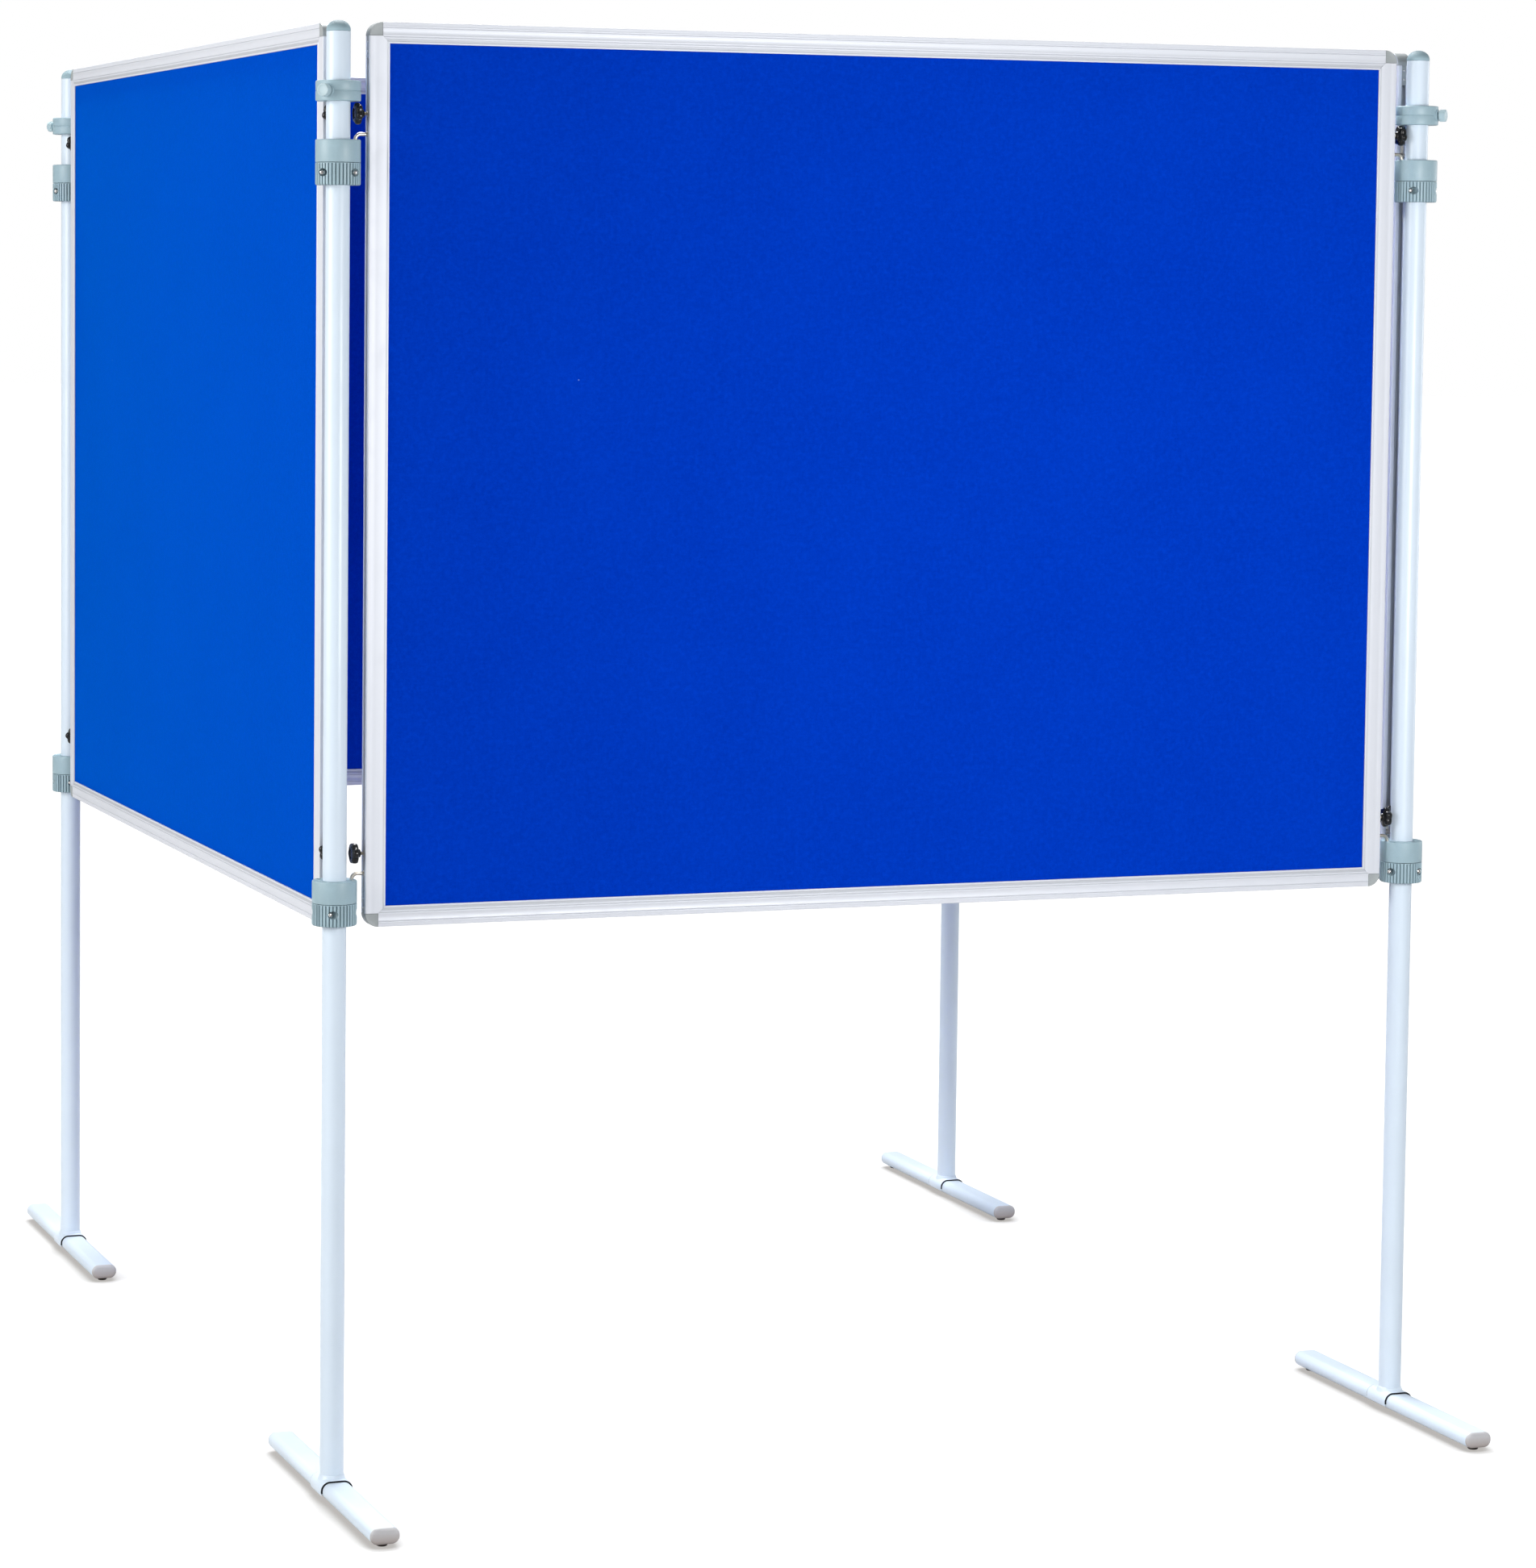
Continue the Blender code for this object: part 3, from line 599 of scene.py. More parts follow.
# ---- hooks and knobs --------------------------------------------------------------
def hook():
    """Bent rod from its slot block to the collar: X outward from the board's side face, Z = 0 at the rod's level."""
    reach = HALF - SIDE - HOOK_CIRCLE
    bend = 7.5 * MM
    pts = [(-3.2 * MM, 0, 0), (0.0, 0, 0), (reach - bend, 0, 0.15 * MM)]
    for i in range(1, 13):
        a = PI / 2 * i / 12
        pts.append((reach - bend * (1 - math.sin(a)), 0, -bend * (1 - math.cos(a)) + 0.15 * MM * (1 - i / 12)))
    pts += [(reach, 0, -20 * MM), (reach, 0, -28.6 * MM), (reach, 0, -29.5 * MM)]
    rod = mesh("rod", *sweep(pts, 2.5 * MM, 20), angle=40)
    nut = turned("shoulder", [(0, 1.1 * MM), (2.5 * MM, 1.1 * MM), (3.3 * MM, 0.8 * MM), (3.6 * MM, 0.2 * MM), (3.6 * MM, -1.0 * MM), (0, -1.0 * MM)], 24)
    nut.transform(T((-0.3 * MM, 0, 0)) @ R(90, "Y"))
    return joined("hook", (rod, Matrix()), (nut, Matrix()), angle=40)


def slot_block():
    """Sliding block in the upright's T-slot, behind the hook and the knob's stud."""
    loop = rounded([(-1.75, -10), (-1.75, 36), (-6.2, 36), (-6.2, -10)], [0.5, 0.5, 0.5, 0.5])
    rings = [[(x * MM, y * MM, z * MM) for x, z in [(-3.97 + (a + 3.97) * k, 13 + (b - 13) * k2) for a, b in loop]] for y, k, k2 in
             ((-5.75, 0.9, 0.985), (-5.4, 1.0, 1.0), (5.4, 1.0, 1.0), (5.75, 0.9, 0.985))]
    return mesh("slot_block", *loft(rings))


def knob():
    """Six-lobed star knob, turned about Z; Z = 0 is the board's side face and the hub points to it."""
    steps = 96
    prof = [  # (share of the lobed rim, height, how much of the lobing shows)
        (0.0, 17.2, 0), (0.30, 17.2, 0), (0.42, 17.35, 0), (0.46, 17.9, 0.0), (0.60, 18.25, 0.2), (0.78, 17.9, 0.7), (0.92, 17.0, 1), (0.985, 15.8, 1),
        (1.0, 14.4, 1), (1.0, 12.0, 1), (0.975, 10.7, 1), (0.90, 9.7, 1), (0.76, 9.0, 0.8), (0.58, 8.5, 0.4), (0.44, 7.9, 0.1), (0.385, 7.0, 0),
        (0.37, 5.6, 0), (0.34, 5.1, 0), (0.0, 5.1, 0),
    ]
    rings = []
    for share, z, lobing in prof:
        ring = []
        for i in range(steps):
            th = 2 * PI * i / steps
            c = 0.5 + 0.5 * math.cos(6 * th)
            lobe = 1 - 0.175 * (1 - c ** 0.55) * lobing
            r = max(14.6 * share * lobe, 1e-4)
            ring.append((r * math.cos(th) * MM, r * math.sin(th) * MM, z * MM))
        rings.append(ring)
    v, f = loft(rings, caps=False)
    return mesh("star_knob", v, f, angle=50, weld=0.0000006)


def knob_stud():
    """Threaded stud with its washer, between the knob and the slot."""
    prof = [(0, 5.6), (2.5, 5.6)]
    z = 5.3
    while z > 1.5:
        prof += [(2.5, z), (2.12, z - 0.35)]
        z -= 0.7
    prof += [(2.4, 1.15), (4.4, 1.15), (4.75, 0.95), (4.75, 0.35), (4.4, 0.15), (2.4, 0.15), (2.4, -1.7), (0, -1.7)]
    return turned("knob_stud", [(r * MM, z * MM) for r, z in prof], 24)


# ---- posts -------------------------------------------------------------------------
def post_tube():
    prof = [(14.5, 30.3), (14.5, 1958.3), (14.9, 1958.9), (15.5, 1958.9), (15.9, 1958.5), (16.0, 1957.8), (16.0, 30.3)]
    return turned("post_tube", [(r * MM, z * MM) for r, z in prof], 64, closed=True)


def dome_cap():
    """Domed plug with a short upright skirt, a hair wider than the tube."""
    prof = []
    base, skirt, high = 1959.2, 1.6, 14.3
    for i in range(15):
        a = PI / 2 * i / 14
        prof.append((16.05 * math.sin(a) ** 0.94 if i else 0.0, base + skirt + (high - skirt) * math.cos(a) ** 1.06 if i < 14 else base + skirt))
    prof += [(16.05, base + 0.3), (15.8, base), (14.3, base), (14.3, base - 14), (13.6, base - 19), (0, base - 19)]
    return turned("dome_cap", [(r * MM, z * MM) for r, z in prof], 56)


SLEEVE_W, SLEEVE_H, SLEEVE_R = 45.0, 27.0, 13.0


def sleeve_top(x):
    """Height of the saddle's outer skin above the floor at a sideways offset, in mm."""
    x = abs(x)
    flat, crown = SLEEVE_W / 2 - SLEEVE_R, 16.0 + SLEEVE_H / 2
    if x <= flat:
        return crown
    return crown - SLEEVE_R + math.sqrt(max(0.0, SLEEVE_R**2 - (x - flat) ** 2))


def arch(w, h, r, low):
    """The part of a flat oval above a height, from right foot over the top to the left foot."""
    pts = [(x, z + 16.0) for x, z in oval(w, h, r, 16)]
    upper = sorted([p for p in pts if p[1] > low], key=lambda p: math.atan2(p[1] - 16.0, p[0]) if p[1] >= 16.0 or p[0] > 0 else math.atan2(p[1] - 16.0, p[0]) + 2 * PI)
    lo = 16.0 - h / 2 + r
    x = (w / 2 - r) + math.sqrt(max(0.0, r * r - (lo - low) ** 2)) if low < lo else w / 2
    return [(x, low)] + upper + [(-x, low)]


def saddle():
    """Pressed sleeve over the foot bar, with the short flared collar that carries the tube."""
    outer, inner = arch(SLEEVE_W, SLEEVE_H, SLEEVE_R, 10.2), arch(44.5, 26.5, 12.75, 10.2)
    rings = []
    for y, grow in ((-26.2, -0.2), (-26.1, -0.06), (-25.9, 0.0), (25.9, 0.0), (26.1, -0.06), (26.2, -0.2)):
        ring = []
        for pts, sign in ((outer, 1), (inner[::-1], 0)):
            for x, z in pts:
                v = Vector((x, z - 16.0))
                k = 1 + sign * grow / v.length
                ring.append((v.x * k * MM, y * MM, (16.0 + v.y * k) * MM))
        rings.append(ring)
    sleeve = mesh("sleeve", *loft(rings), angle=40)
    steps = 72
    flare = []
    # (share of the way out to the foot of the flare, share of the way down)
    shape = [(0.0, 0.0), (0.12, 0.02), (0.25, 0.1), (0.4, 0.27), (0.58, 0.5), (0.74, 0.72), (0.88, 0.9), (1.0, 1.0)]
    for out, down in shape:
        ring = []
        for i in range(steps):
            th = 2 * PI * i / steps
            ex, ey = 18.9, 19.6
            foot = 1 / math.sqrt((math.cos(th) / ex) ** 2 + (math.sin(th) / ey) ** 2)
            z_foot = sleeve_top(foot * math.cos(th)) - 0.35
            r = 16.03 + (foot - 16.03) * out
            z = 33.6 + (z_foot - 33.6) * down
            ring.append((r * math.cos(th) * MM, r * math.sin(th) * MM, z * MM))
        flare.append(ring)
    under = [(x * 0.98, y * 0.98, 22 * MM if abs(x) > 14 * MM else 28.4 * MM) for x, y, z in flare[-1]]
    low = [(16.03 * MM * math.cos(2 * PI * i / steps), 16.03 * MM * math.sin(2 * PI * i / steps), 28.4 * MM) for i in range(steps)]
    weld = mesh("weld", *loft(flare + [under, low], caps=False, loop=True), angle=40)
    return sleeve, weld


def saddle_liner():
    """Thin dark liner between the saddle and the bar, a painted shade standing in for the shadow in that gap; it stands
    a little proud of the saddle's two ends.
    """
    outer, inner = arch(44.4, 26.4, 12.7, 13.5), arch(40.12, 22.12, 10.56, 13.5)
    rings = []
    for y in (-27.2, -27.05, 27.05, 27.2):
        k = 0.15 if abs(y) > 27.1 else 0.0
        ring = []
        for x, z in outer:
            v = Vector((x, z - 16.0))
            ring.append((v.x * (1 - k / v.length) * MM, y * MM, (16.0 + v.y * (1 - k / v.length)) * MM))
        ring += [(x * MM, y * MM, z * MM) for x, z in inner[::-1]]
        rings.append(ring)
    return mesh("saddle_liner", *loft(rings), angle=40)


def foot_bar():
    """Flat-oval tube along Y, its two open ends closed by the caps' plugs."""
    rings = []
    for y in (-250.85, -250.6, 250.6, 250.85):
        k = 0.12 if abs(y) > 250.7 else 0.0
        rings.append([(x * MM, y * MM, (z + 16.0) * MM) for x, z in oval(40 - 2 * k, 22 - 2 * k, 10.5 - k, 12)])
    back = []
    for y in (250.85, -250.85):
        back.append([(x * MM, y * MM, (z + 16.0) * MM) for x, z in oval(37, 19, 9, 12)])
    return mesh("foot_bar", *loft(rings + back, caps=False, loop=True), angle=40)


def foot_cap():
    """Domed end cap with its plug, pointing along +Y."""
    rings = []
    for y in (222.0, 250.95):
        rings.append([(x * MM, y * MM, (z + 16.0) * MM) for x, z in oval(36.6, 18.6, 8.8, 12)])
    for y, s in ((250.97, 0.12), (251.15, 0.0), (251.5, 0.0)):
        rings.append([(x * MM, y * MM, (z + 16.0) * MM) for x, z in oval(40 - 2 * s, 22 - 2 * s, 10.5 - s, 14)])
    rings[0], rings[1] = ([(x * MM, y * MM, (z + 16.0) * MM) for x, z in oval(36.6, 18.6, 8.8, 14)] for y in (222.0, 250.95))
    for i in range(1, 15):
        s = 10.35 * (i / 14) ** 1.6
        lift = math.sqrt(max(0.0, 1 - (1 - min(1.0, s / 5.2)) ** 2))
        y = 251.5 + 3.1 * lift + 0.32 * (s / 10.35)
        rings.append([(x * MM, y * MM, (z + 16.0) * MM) for x, z in oval(40 - 2 * s, 22 - 2 * s, 10.5 - s, 14)])
    return mesh("foot_cap", *loft(rings), angle=50)


def glide():
    """Screw-in glide: a shallow tapered disc with a rounded sole."""
    prof = [(0, 11.5), (3.4, 11.5), (3.4, 4.8), (6.8, 4.75), (7.3, 4.4), (7.5, 3.6), (7.4, 1.6), (7.0, 0.7), (6.2, 0.14), (4.8, 0.0), (0, 0.0)]
    return turned("glide", [(r * MM, z * MM) for r, z in prof], 40)


# ---- collars ----------------------------------------------------------------------
def collar_body():
    """Smooth upper half of the hook collar, Z = 0 at its top, drilled with hook holes every 45 degrees."""
    prof = [
        (16.45, -29.9), (16.45, -0.8), (17.2, 0.0), (28.1, 0.0), (28.8, -0.12), (29.4, -0.45), (29.8, -0.95), (30.0, -1.7), (30.0, -29.2), (29.8, -29.7), (29.4, -29.9),
    ]
    me = turned("collar_body", [(r * MM, z * MM) for r, z in prof], 144, closed=True)
    drill = turned("drill", [(r * MM, z * MM) for r, z in [(0, 2), (4.2, 2), (4.2, 0.3), (3.3, -0.75), (3.3, -27.5), (0, -27.5)]], 24)
    cut = joined("drills", *[(drill, R(45 * k, "Z") @ T((HOOK_CIRCLE, 0, 0))) for k in range(8)])
    return boolean(me, cut, angle=34)


SCREW_OFF = 21.2             # clamp screws, sideways from the post's axis, in mm


def screw_axes():
    """The four clamp screws: two parallel pairs from opposite sides. The local Z of each matrix points outwards along its screw."""
    return [R(way, "Z") @ T((0, side * SCREW_OFF * MM, -43.5 * MM)) @ R(90, "Y") for way in (45, 225) for side in (-1, 1)]


def collar_clamp():
    """Ribbed clamp of two halves below the smooth one: round-ended grooves, four deep screw holes and the slits between the halves."""
    per = 10
    ribs = 38
    steps = ribs * per
    wave = [0.0, 0.0, 0.0, 0.0, 0.0, -0.15, -1.9, -2.2, -1.9, -0.15]

    def ring(base, depth, z):
        out = []
        for i in range(steps):
            th = 2 * PI * (i + 0.5) / steps
            r = base + wave[i % per] * depth
            out.append((r * math.cos(th) * MM, r * math.sin(th) * MM, z * MM))
        return out

    rings = [
        ring(29.3, 0.0, -30.5), ring(29.75, 0.0, -30.62), ring(30.0, 0.0, -30.95), ring(30.0, 0.0, -31.3), ring(30.0, 0.5, -31.5), ring(30.0, 0.85, -31.95), ring(30.0, 1.0, -32.7),
        ring(30.0, 1.0, -57.6), ring(29.85, 0.97, -58.6), ring(29.4, 0.75, -59.4), ring(28.7, 0.35, -59.9), ring(28.0, 0.0, -60.0),
        ring(17.1, 0.0, -60.0), ring(16.45, 0.0, -59.4), ring(16.45, 0.0, -30.5),
    ]
    me = mesh("collar_clamp", *loft(rings, caps=False, loop=True), angle=30)
    recess = turned("recess", [(r * MM, z * MM) for r, z in [(0, 36), (5.35, 36), (5.35, 14.3), (4.9, 13.8), (2.1, 13.8), (2.1, 5.0), (0, 5.0)]], 40)
    me = boolean(me, joined("cuts", *[(recess, m) for m in screw_axes()]), angle=30)
    for a in (-45, 135):
        slit = mesh("slit", *loft([[(x, y, z) for x, y in ((15 * MM, -0.5 * MM), (33 * MM, -0.5 * MM), (33 * MM, 0.5 * MM), (15 * MM, 0.5 * MM))] for z in (-61 * MM, -29 * MM)]))
        slit.transform(R(a, "Z"))
        me = boolean(me, slit, angle=30)
    return me


def set_screws():
    """Four pan-head cross screws at the bottom of their holes."""
    head = turned("head", [(r * MM, z * MM) for r, z in [
        (0, 17.6), (1.2, 17.55), (2.3, 17.2), (3.1, 16.6), (3.65, 15.7), (3.8, 14.9), (3.8, 13.9), (1.9, 13.85), (1.9, 5.6), (0, 5.6),
    ]], 32)
    bars = []
    for a in (25, 115):
        pts = [(-2.2, -0.45), (2.2, -0.45), (2.2, 0.45), (-2.2, 0.45)]
        bar = mesh("bar", *loft([[(x * k * MM, y * k * MM, z * MM) for x, y in pts] for z, k in ((15.7, 0.5), (18.4, 1.2))]))
        bars.append((bar, R(a, "Z")))
    cross = boolean(joined("c0", bars[0]), joined("c1", bars[1]), "UNION")
    head = boolean(head, cross, angle=35)
    return joined("set_screws", *[(head, m) for m in screw_axes()])


def lock_ring():
    """Plain guard ring with a parting line round its middle and a flat boss for the thumbscrew at -135 degrees. Z is the world's."""
    a, b, m = 1867.0, 1894.0, 1880.5
    prof = [
        (16.45, a + 0.6), (16.45, b - 0.6), (17.0, b), (28.2, b), (28.9, b - 0.14), (29.45, b - 0.5), (29.82, b - 1.0), (30.0, b - 1.7),
        (30.0, m + 0.6), (29.9, m + 0.42), (29.45, m + 0.28), (29.3, m + 0.2), (29.3, m - 0.2), (29.45, m - 0.28), (29.9, m - 0.42), (30.0, m - 0.6),
        (30.0, a + 1.7), (29.82, a + 1.0), (29.45, a + 0.5), (28.9, a + 0.14), (28.2, a), (17.0, a),
    ]
    me = turned("lock_ring", [(r * MM, z * MM) for r, z in prof], 120, closed=True)
    turn = R(-135, "Z") @ T((0, 0, m * MM)) @ R(90, "Y")
    boss = turned("boss", [(r * MM, z * MM) for r, z in [(0, 30.9), (8.7, 30.9), (9.2, 30.7), (9.4, 30.2), (9.4, 22.0), (0, 22.0)]], 48)
    boss.transform(turn)
    me = boolean(me, boss, "UNION", angle=30)
    hole = cylinder(2.95 * MM, 10 * MM, 40 * MM, 28)
    hole.transform(turn)
    return boolean(me, hole, angle=30)


def thumbscrew():
    """Head with fine teeth round its rim, a shallow dish in its face, and its stud. Z = 0 is the post's axis."""
    teeth, per = 36, 4
    steps = teeth * per
    wave = [0.0, 0.0, -0.38, -0.38]
    prof = [  # radius, height, tooth depth
        (0.0, 41.9, 0), (4.6, 41.9, 0), (5.6, 42.05, 0), (6.3, 42.4, 0), (7.3, 42.5, 0), (8.0, 42.3, 0.2), (8.45, 41.8, 0.7), (8.6, 41.2, 1), (8.6, 34.4, 1), (8.45, 33.7, 0.7),
        (7.9, 33.2, 0.1), (6.2, 32.9, 0), (4.3, 32.7, 0), (4.3, 31.3, 0), (2.45, 31.2, 0), (2.45, 17.6, 0), (0.0, 17.6, 0),
    ]
    rings = []
    for r, z, d in prof:
        ring = []
        for i in range(steps):
            th = 2 * PI * (i + 0.5) / steps
            q = max(r + wave[i % per] * d, 1e-4)
            ring.append((q * math.cos(th) * MM, q * math.sin(th) * MM, z * MM))
        rings.append(ring)
    v, f = loft(rings, caps=False)
    return mesh("thumbscrew", v, f, angle=35, weld=0.0000006)


# ---- put it together --------------------------------------------------------------
RAIL_H = rail("rail_level", WIDTH, False)
RAIL_V = rail("rail_upright", HEIGHT, True)
CAP_ME, RIVET_ME = corner_cap(), rivets()
FELT_ME, CORE_ME = felt_sheet(), core_slab()
HOOK_ME, BLOCK_ME = hook(), slot_block()
KNOB_ME, STUD_ME = knob(), knob_stud()

for b, ((cx, cy), turn, ends) in BOARDS.items():
    M = T((cx, cy, 0)) @ R(turn, "Z")
    body = b + "_board"
    fr, pn = b + "_frame", b + "_panel"
    piece(b + "_rail_top", RAIL_H, ALU, M @ T((0, 0, TOP)), body, "frame_aluminium", fr)
    piece(b + "_rail_bottom", RAIL_H, ALU, M @ T((0, 0, BOTTOM)) @ R(180, "Y"), body, "frame_aluminium", fr)
    for s, end in zip((-1, 1), ends):
        piece(b + "_upright_" + end, RAIL_V, ALU, M @ T((s * SIDE, 0, MID_Z)) @ R(s * 90, "Y"), body, "frame_aluminium", fr)
        for level, z in (("top", TOP), ("bottom", BOTTOM)):
            spin = {(1, "top"): Matrix(), (-1, "top"): R(180, "Z"), (1, "bottom"): R(180, "X"), (-1, "bottom"): R(180, "Y")}[(s, level)]
            at = M @ T((s * SIDE, 0, z)) @ spin
            piece("%s_corner_cap_%s_%s" % (b, level, end), CAP_ME, CAP_GREY, at, body, "grey_plastic", fr)
            piece("%s_rivets_%s_%s" % (b, level, end), RIVET_ME, STEEL, at, body, "frame_aluminium", fr)
        for level, top in COLLAR_TOPS.items():
            z = top + 7.5 * MM
            at = M @ T((s * SIDE, 0, z)) @ (Matrix() if s > 0 else R(180, "Z"))
            piece("%s_hook_%s_%s" % (b, end, level), HOOK_ME, HOOK_STEEL, at, body, "frame_aluminium", fr)
            piece("%s_slot_block_%s_%s" % (b, end, level), BLOCK_ME, STEEL, at, body, "frame_aluminium", fr)
            name = "%s_knob_%s_%s" % (b, end, level)
            at = M @ T((s * SIDE, 0, z + 27 * MM)) @ R(s * 90, "Y") @ R(17 * (1 + s) + (11 if level == "upper" else 35), "Z")
            piece(name + "_star", KNOB_ME, BLACK, at, name, "black_plastic", name)
            piece(name + "_stud", STUD_ME, HOOK_STEEL, at, name, "frame_aluminium", name)
    piece(b + "_felt_outer", FELT_ME, FELT, M @ T((0, 0, MID_Z)), body, "felt_board", pn)
    piece(b + "_felt_inner", FELT_ME, FELT, M @ T((0, 0, MID_Z)) @ R(180, "Z"), body, "felt_board", pn)
    piece(b + "_core", CORE_ME, CORE, M @ T((0, 0, MID_Z)), body, "felt_board", pn)

TUBE_ME, DOME_ME = post_tube(), dome_cap()
SLEEVE_ME, WELD_ME = saddle()
LINER_ME, BAR_ME, FOOT_CAP_ME, GLIDE_ME = saddle_liner(), foot_bar(), foot_cap(), glide()
COLLAR_ME, CLAMP_ME, SCREWS_ME = collar_body(), collar_clamp(), set_screws()
RING_ME, THUMB_ME = lock_ring(), thumbscrew()

for p, ((px, py), turn, screws) in POSTS.items():
    M = T((px, py, 0))
    body = p + "_post"
    piece(p + "_tube", TUBE_ME, PAINT, M, body, "painted_steel", p + "_post")
    piece(p + "_saddle", SLEEVE_ME, PAINT, M, body, "painted_steel", p + "_foot_bar")
    piece(p + "_saddle_weld", WELD_ME, PAINT, M, body, "painted_steel", p + "_foot_bar")
    piece(p + "_saddle_liner", LINER_ME, SHADE_LINER, M, body, "black_plastic", p + "_foot_bar")
    piece(p + "_dome_cap", DOME_ME, DOME_SHADED_GREY, M, body, "grey_plastic", p + "_post_cap")
    piece(p + "_bar", BAR_ME, PAINT, M, body, "painted_steel", p + "_foot_bar")
    for end, a in (("front", 180), ("rear", 0)):
        node = "%s_foot_end_%s" % (p, end)
        piece("%s_foot_cap_%s" % (p, end), FOOT_CAP_ME, END_SHADED_GREY, M @ R(a, "Z"), body, "end_cap_plastic", node)
        at = M @ R(a, "Z") @ T((0, 238 * MM, 0))
        piece("%s_glide_%s" % (p, end), GLIDE_ME, RUBBER, at, body, "end_cap_plastic", node)
    for (level, top), world in zip(COLLAR_TOPS.items(), screws):
        node = "%s_hook_collar_%s" % (p, level)
        at = M @ T((0, 0, top))
        piece("%s_collar_body_%s" % (p, level), COLLAR_ME, GREY, at @ R(turn, "Z"), body, "grey_plastic", node)
        piece("%s_collar_clamp_%s" % (p, level), CLAMP_ME, CLAMP_GREY, at @ R(world, "Z"), body, "grey_plastic", node)
        piece("%s_set_screws_%s" % (p, level), SCREWS_ME, STEEL, at @ R(world, "Z"), body, "frame_aluminium", node)
    piece(p + "_guard_ring", RING_ME, GREY, M @ R(turn, "Z"), p + "_lock_ring", "grey_plastic", p + "_lock_ring")
    at = M @ R(turn - 135, "Z") @ T((0, 0, 1.8805)) @ R(90, "Y")
    piece(p + "_thumbscrew_head", THUMB_ME, THUMB_GREY, at, p + "_thumbscrew", "grey_plastic", p + "_thumbscrew")

# ---- floor, light and camera --------------------------------------------------------
disc = bpy.data.meshes.new("floor")
bm = bmesh.new()
bmesh.ops.create_circle(bm, cap_ends=True, segments=96, radius=60)
bm.to_mesh(disc)
bm.free()
floor = bpy.data.objects.new("floor", disc)
bpy.context.scene.collection.objects.link(floor)
floor.location = (0, 0, -0.0004)
fm = bpy.data.materials.new("pale_floor")
fm.use_nodes = True
ft = fm.node_tree
fb = ft.nodes["Principled BSDF"]
fb.inputs["Base Color"].default_value = (0.9, 0.9, 0.9, 1)
fb.inputs["Roughness"].default_value = 0.8
fb.inputs["Specular IOR Level"].default_value = 0.0
glow = ft.nodes.new("ShaderNodeEmission")
glow.inputs["Color"].default_value = (1, 1, 1, 1)
glow.inputs["Strength"].default_value = 1.16
tc = ft.nodes.new("ShaderNodeTexCoord")
length = ft.nodes.new("ShaderNodeVectorMath")
length.operation = "LENGTH"
ft.links.new(tc.outputs["Object"], length.inputs[0])
far = ft.nodes.new("ShaderNodeMapRange")
far.interpolation_type = "SMOOTHSTEP"
far.inputs["From Min"].default_value = 1.8
far.inputs["From Max"].default_value = 6.0
far.inputs["To Min"].default_value = 0.66
far.inputs["To Max"].default_value = 1.0
ft.links.new(length.outputs["Value"], far.inputs["Value"])
mixed = ft.nodes.new("ShaderNodeMixShader")
ft.links.new(far.outputs["Result"], mixed.inputs["Fac"])
ft.links.new(fb.outputs["BSDF"], mixed.inputs[1])
ft.links.new(glow.outputs["Emission"], mixed.inputs[2])
# painted contact shadow: a soft dark line, by ambient occlusion, where the feet come close to the floor
near = ft.nodes.new("ShaderNodeAmbientOcclusion")
near.samples = 12
near.inputs["Distance"].default_value = 0.05
close = ft.nodes.new("ShaderNodeMapRange")
for k, v in (("From Min", 0.92), ("From Max", 0.42), ("To Min", 0.0), ("To Max", 0.74)):
    close.inputs[k].default_value = v
ft.links.new(near.outputs["AO"], close.inputs["Value"])
shade = ft.nodes.new("ShaderNodeEmission")
shade.inputs["Color"].default_value = (0.36, 0.335, 0.31, 1)
painted_contact_shadow = ft.nodes.new("ShaderNodeMixShader")
ft.links.new(close.outputs["Result"], painted_contact_shadow.inputs["Fac"])
ft.links.new(mixed.outputs["Shader"], painted_contact_shadow.inputs[1])
ft.links.new(shade.outputs["Emission"], painted_contact_shadow.inputs[2])
seen = ft.nodes.new("ShaderNodeLightPath")
both = ft.nodes.new("ShaderNodeMixShader")
bounce = ft.nodes.new("ShaderNodeBsdfDiffuse")
bounce.inputs["Color"].default_value = (0.5, 0.49, 0.48, 1)
ft.links.new(seen.outputs["Is Camera Ray"], both.inputs["Fac"])
ft.links.new(bounce.outputs["BSDF"], both.inputs[1])
ft.links.new(painted_contact_shadow.outputs["Shader"], both.inputs[2])
ft.links.new(both.outputs["Shader"], ft.nodes["Material Output"].inputs["Surface"])
disc.materials.append(fm)

world = bpy.data.worlds.new("studio")
bpy.context.scene.world = world
world.use_nodes = True
wt = world.node_tree
bg = wt.nodes["Background"]
bg.inputs["Color"].default_value = (0.95, 0.975, 1.0, 1)
# the room is brightest in front of the object, a little to its left, and dim overhead and behind
sky = wt.nodes.new("ShaderNodeTexCoord")
ahead = wt.nodes.new("ShaderNodeVectorMath")
ahead.operation = "DOT_PRODUCT"
ahead.inputs[1].default_value = (-0.30, -0.954, 0.0)
wt.links.new(sky.outputs["Generated"], ahead.inputs[0])
lobe = wt.nodes.new("ShaderNodeMapRange")
lobe.interpolation_type = "SMOOTHSTEP"
for k, v in (("From Min", -0.3), ("From Max", 1.0), ("To Min", 0.0), ("To Max", 0.27)):
    lobe.inputs[k].default_value = v
wt.links.new(ahead.outputs["Value"], lobe.inputs["Value"])
height = wt.nodes.new("ShaderNodeSeparateXYZ")
wt.links.new(sky.outputs["Generated"], height.inputs["Vector"])
falling = wt.nodes.new("ShaderNodeMapRange")
for k, v in (("From Min", 0.1), ("From Max", 1.0), ("To Min", 1.0), ("To Max", 0.3)):
    falling.inputs[k].default_value = v
wt.links.new(height.outputs["Z"], falling.inputs["Value"])
glowing = wt.nodes.new("ShaderNodeMath")
glowing.operation = "MULTIPLY_ADD"
glowing.inputs[2].default_value = 0.25
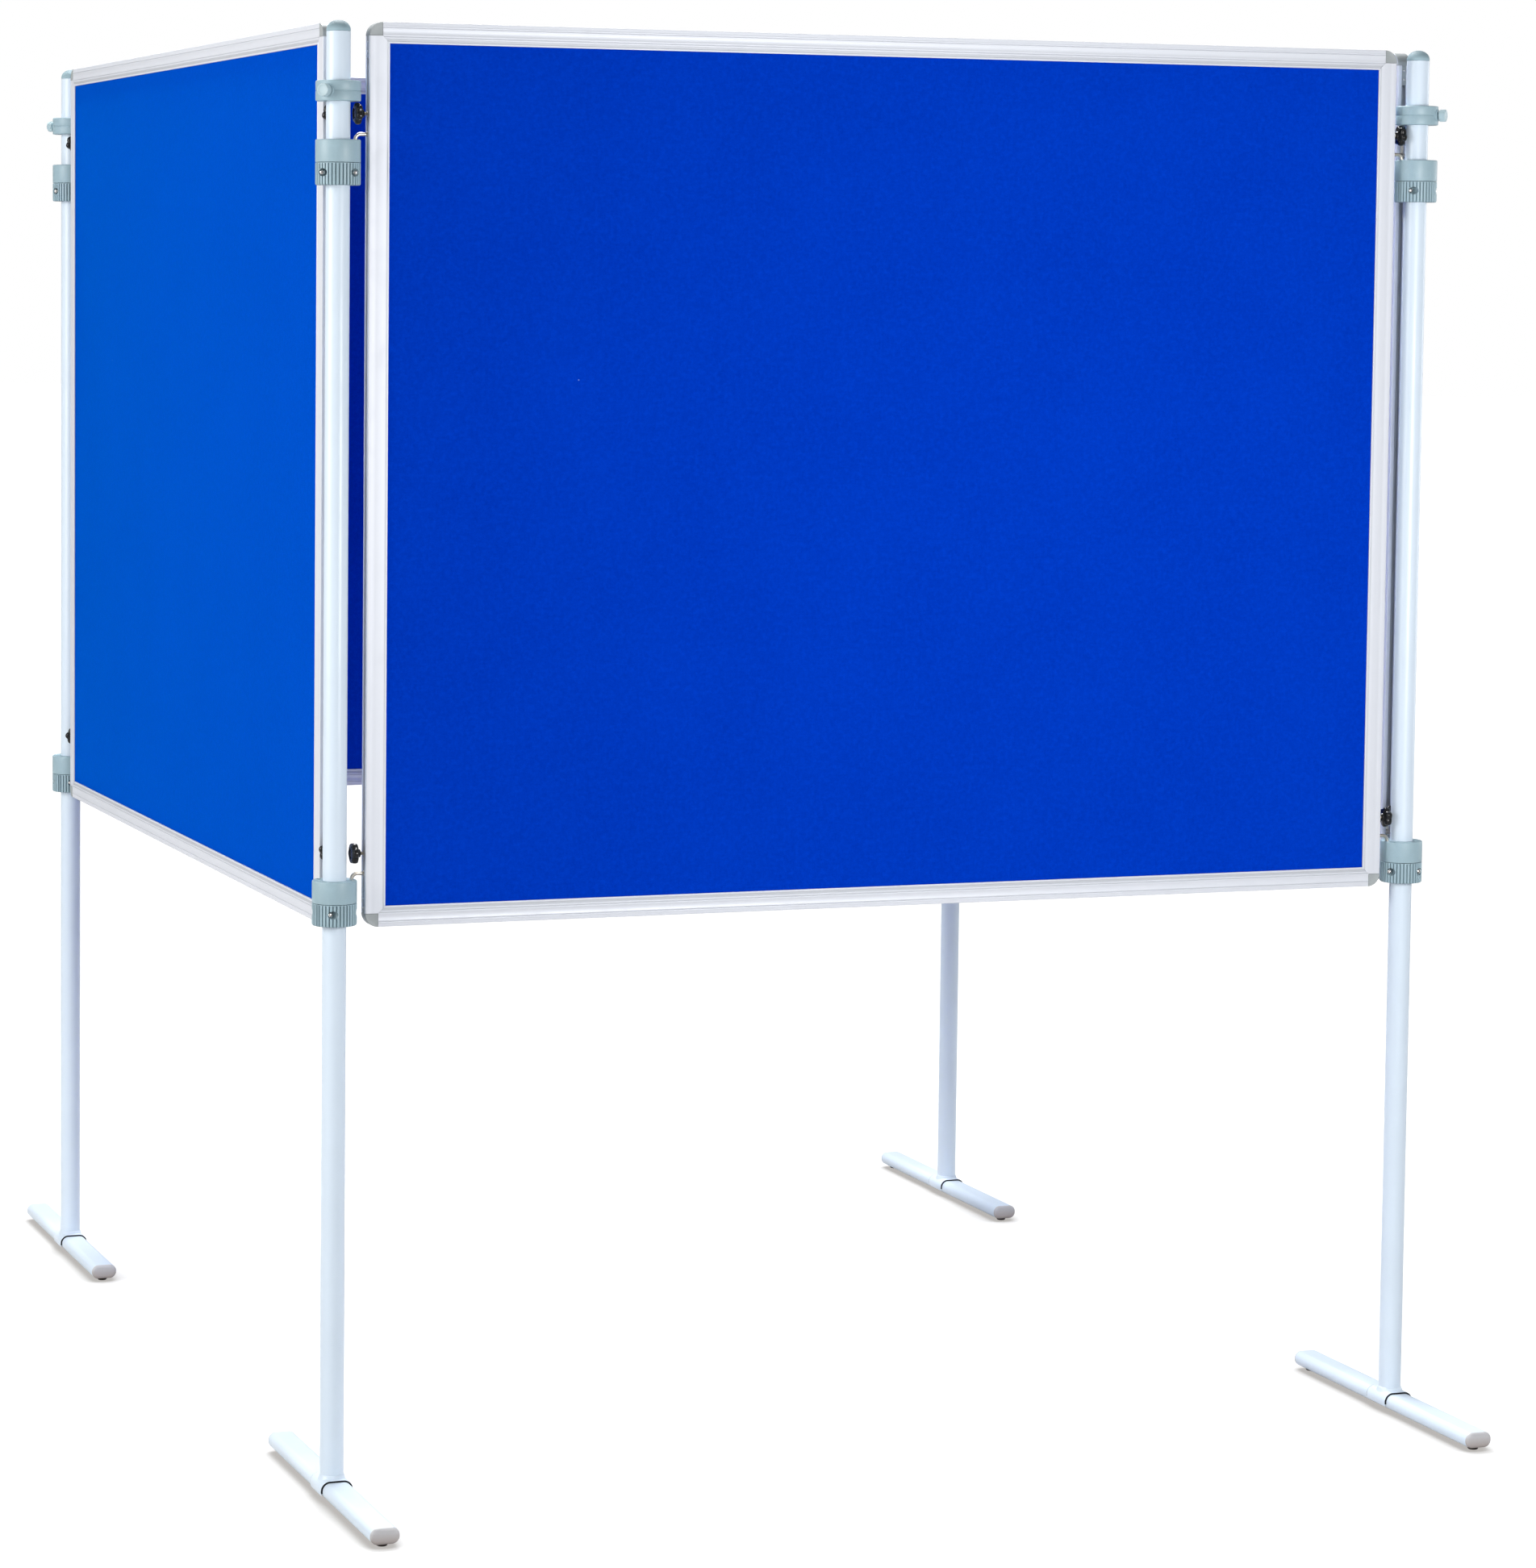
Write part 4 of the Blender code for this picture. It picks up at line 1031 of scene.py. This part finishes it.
wt.links.new(lobe.outputs["Result"], glowing.inputs[0])
wt.links.new(falling.outputs["Result"], glowing.inputs[1])
wt.links.new(glowing.outputs["Value"], bg.inputs["Strength"])
plain = wt.nodes.new("ShaderNodeBackground")
plain.inputs["Color"].default_value = (1, 1, 1, 1)
plain.inputs["Strength"].default_value = 1.0
ray = wt.nodes.new("ShaderNodeLightPath")
wm = wt.nodes.new("ShaderNodeMixShader")
wt.links.new(ray.outputs["Is Camera Ray"], wm.inputs["Fac"])
wt.links.new(bg.outputs["Background"], wm.inputs[1])
wt.links.new(plain.outputs["Background"], wm.inputs[2])
wt.links.new(wm.outputs["Shader"], wt.nodes["World Output"].inputs["Surface"])


def softbox(name, at, aim, size, power, colour=(1, 1, 1)):
    d = bpy.data.lights.new(name, "AREA")
    d.shape = "RECTANGLE"
    d.size, d.size_y = size
    d.energy = power
    d.color = colour
    o = bpy.data.objects.new(name, d)
    bpy.context.scene.collection.objects.link(o)
    o.location = at
    o.rotation_euler = (Vector(aim) - Vector(at)).to_track_quat("-Z", "Y").to_euler()
    o.visible_camera = False
    return o


softbox("overhead", (0.0, 1.7, 5.3), (0, 0.1, 0.4), (2.4, 1.6), 400)
softbox("key_front", (0.4, -3.3, 1.5), (0.2, -0.8, 1.45), (0.75, 0.75), 46)
softbox("fill_left", (-4.2, -0.8, 2.2), (-0.8, -0.2, 1.4), (2.2, 2.3), 120, (1.0, 0.985, 0.96))
softbox("fill_right", (4.4, 0.3, 1.7), (0.8, 0.0, 1.4), (2.2, 2.2), 42, (0.95, 0.975, 1.0))

cam_data = bpy.data.cameras.new("camera")
cam_data.sensor_width = 36.0
cam_data.sensor_fit = "AUTO"
F, CX, CY = 5529.2, 736.0, 734.0
cam_data.lens = F / 1944 * 36.0
cam_data.shift_x = (952 - CX) / 1944
cam_data.shift_y = (CY - 972) / 1944
cam_data.clip_start, cam_data.clip_end = 0.1, 200
cam = bpy.data.objects.new("camera", cam_data)
bpy.context.scene.collection.objects.link(cam)
turn = (Matrix.Rotation(-0.33609, 3, "Z") @ Matrix.Rotation(-0.07028, 3, "X") @ Matrix.Rotation(-0.00895, 3, "Y"))
basis = Matrix((turn.col[0], turn.col[2], -turn.col[1])).transposed()
cam.matrix_world = T((-1.62154 - HALF, -5.67755 - HALF, 1.6382)) @ basis.to_4x4()
bpy.context.scene.camera = cam
bpy.context.scene.view_settings.view_transform = "Standard"

bpy.context.view_layer.update()
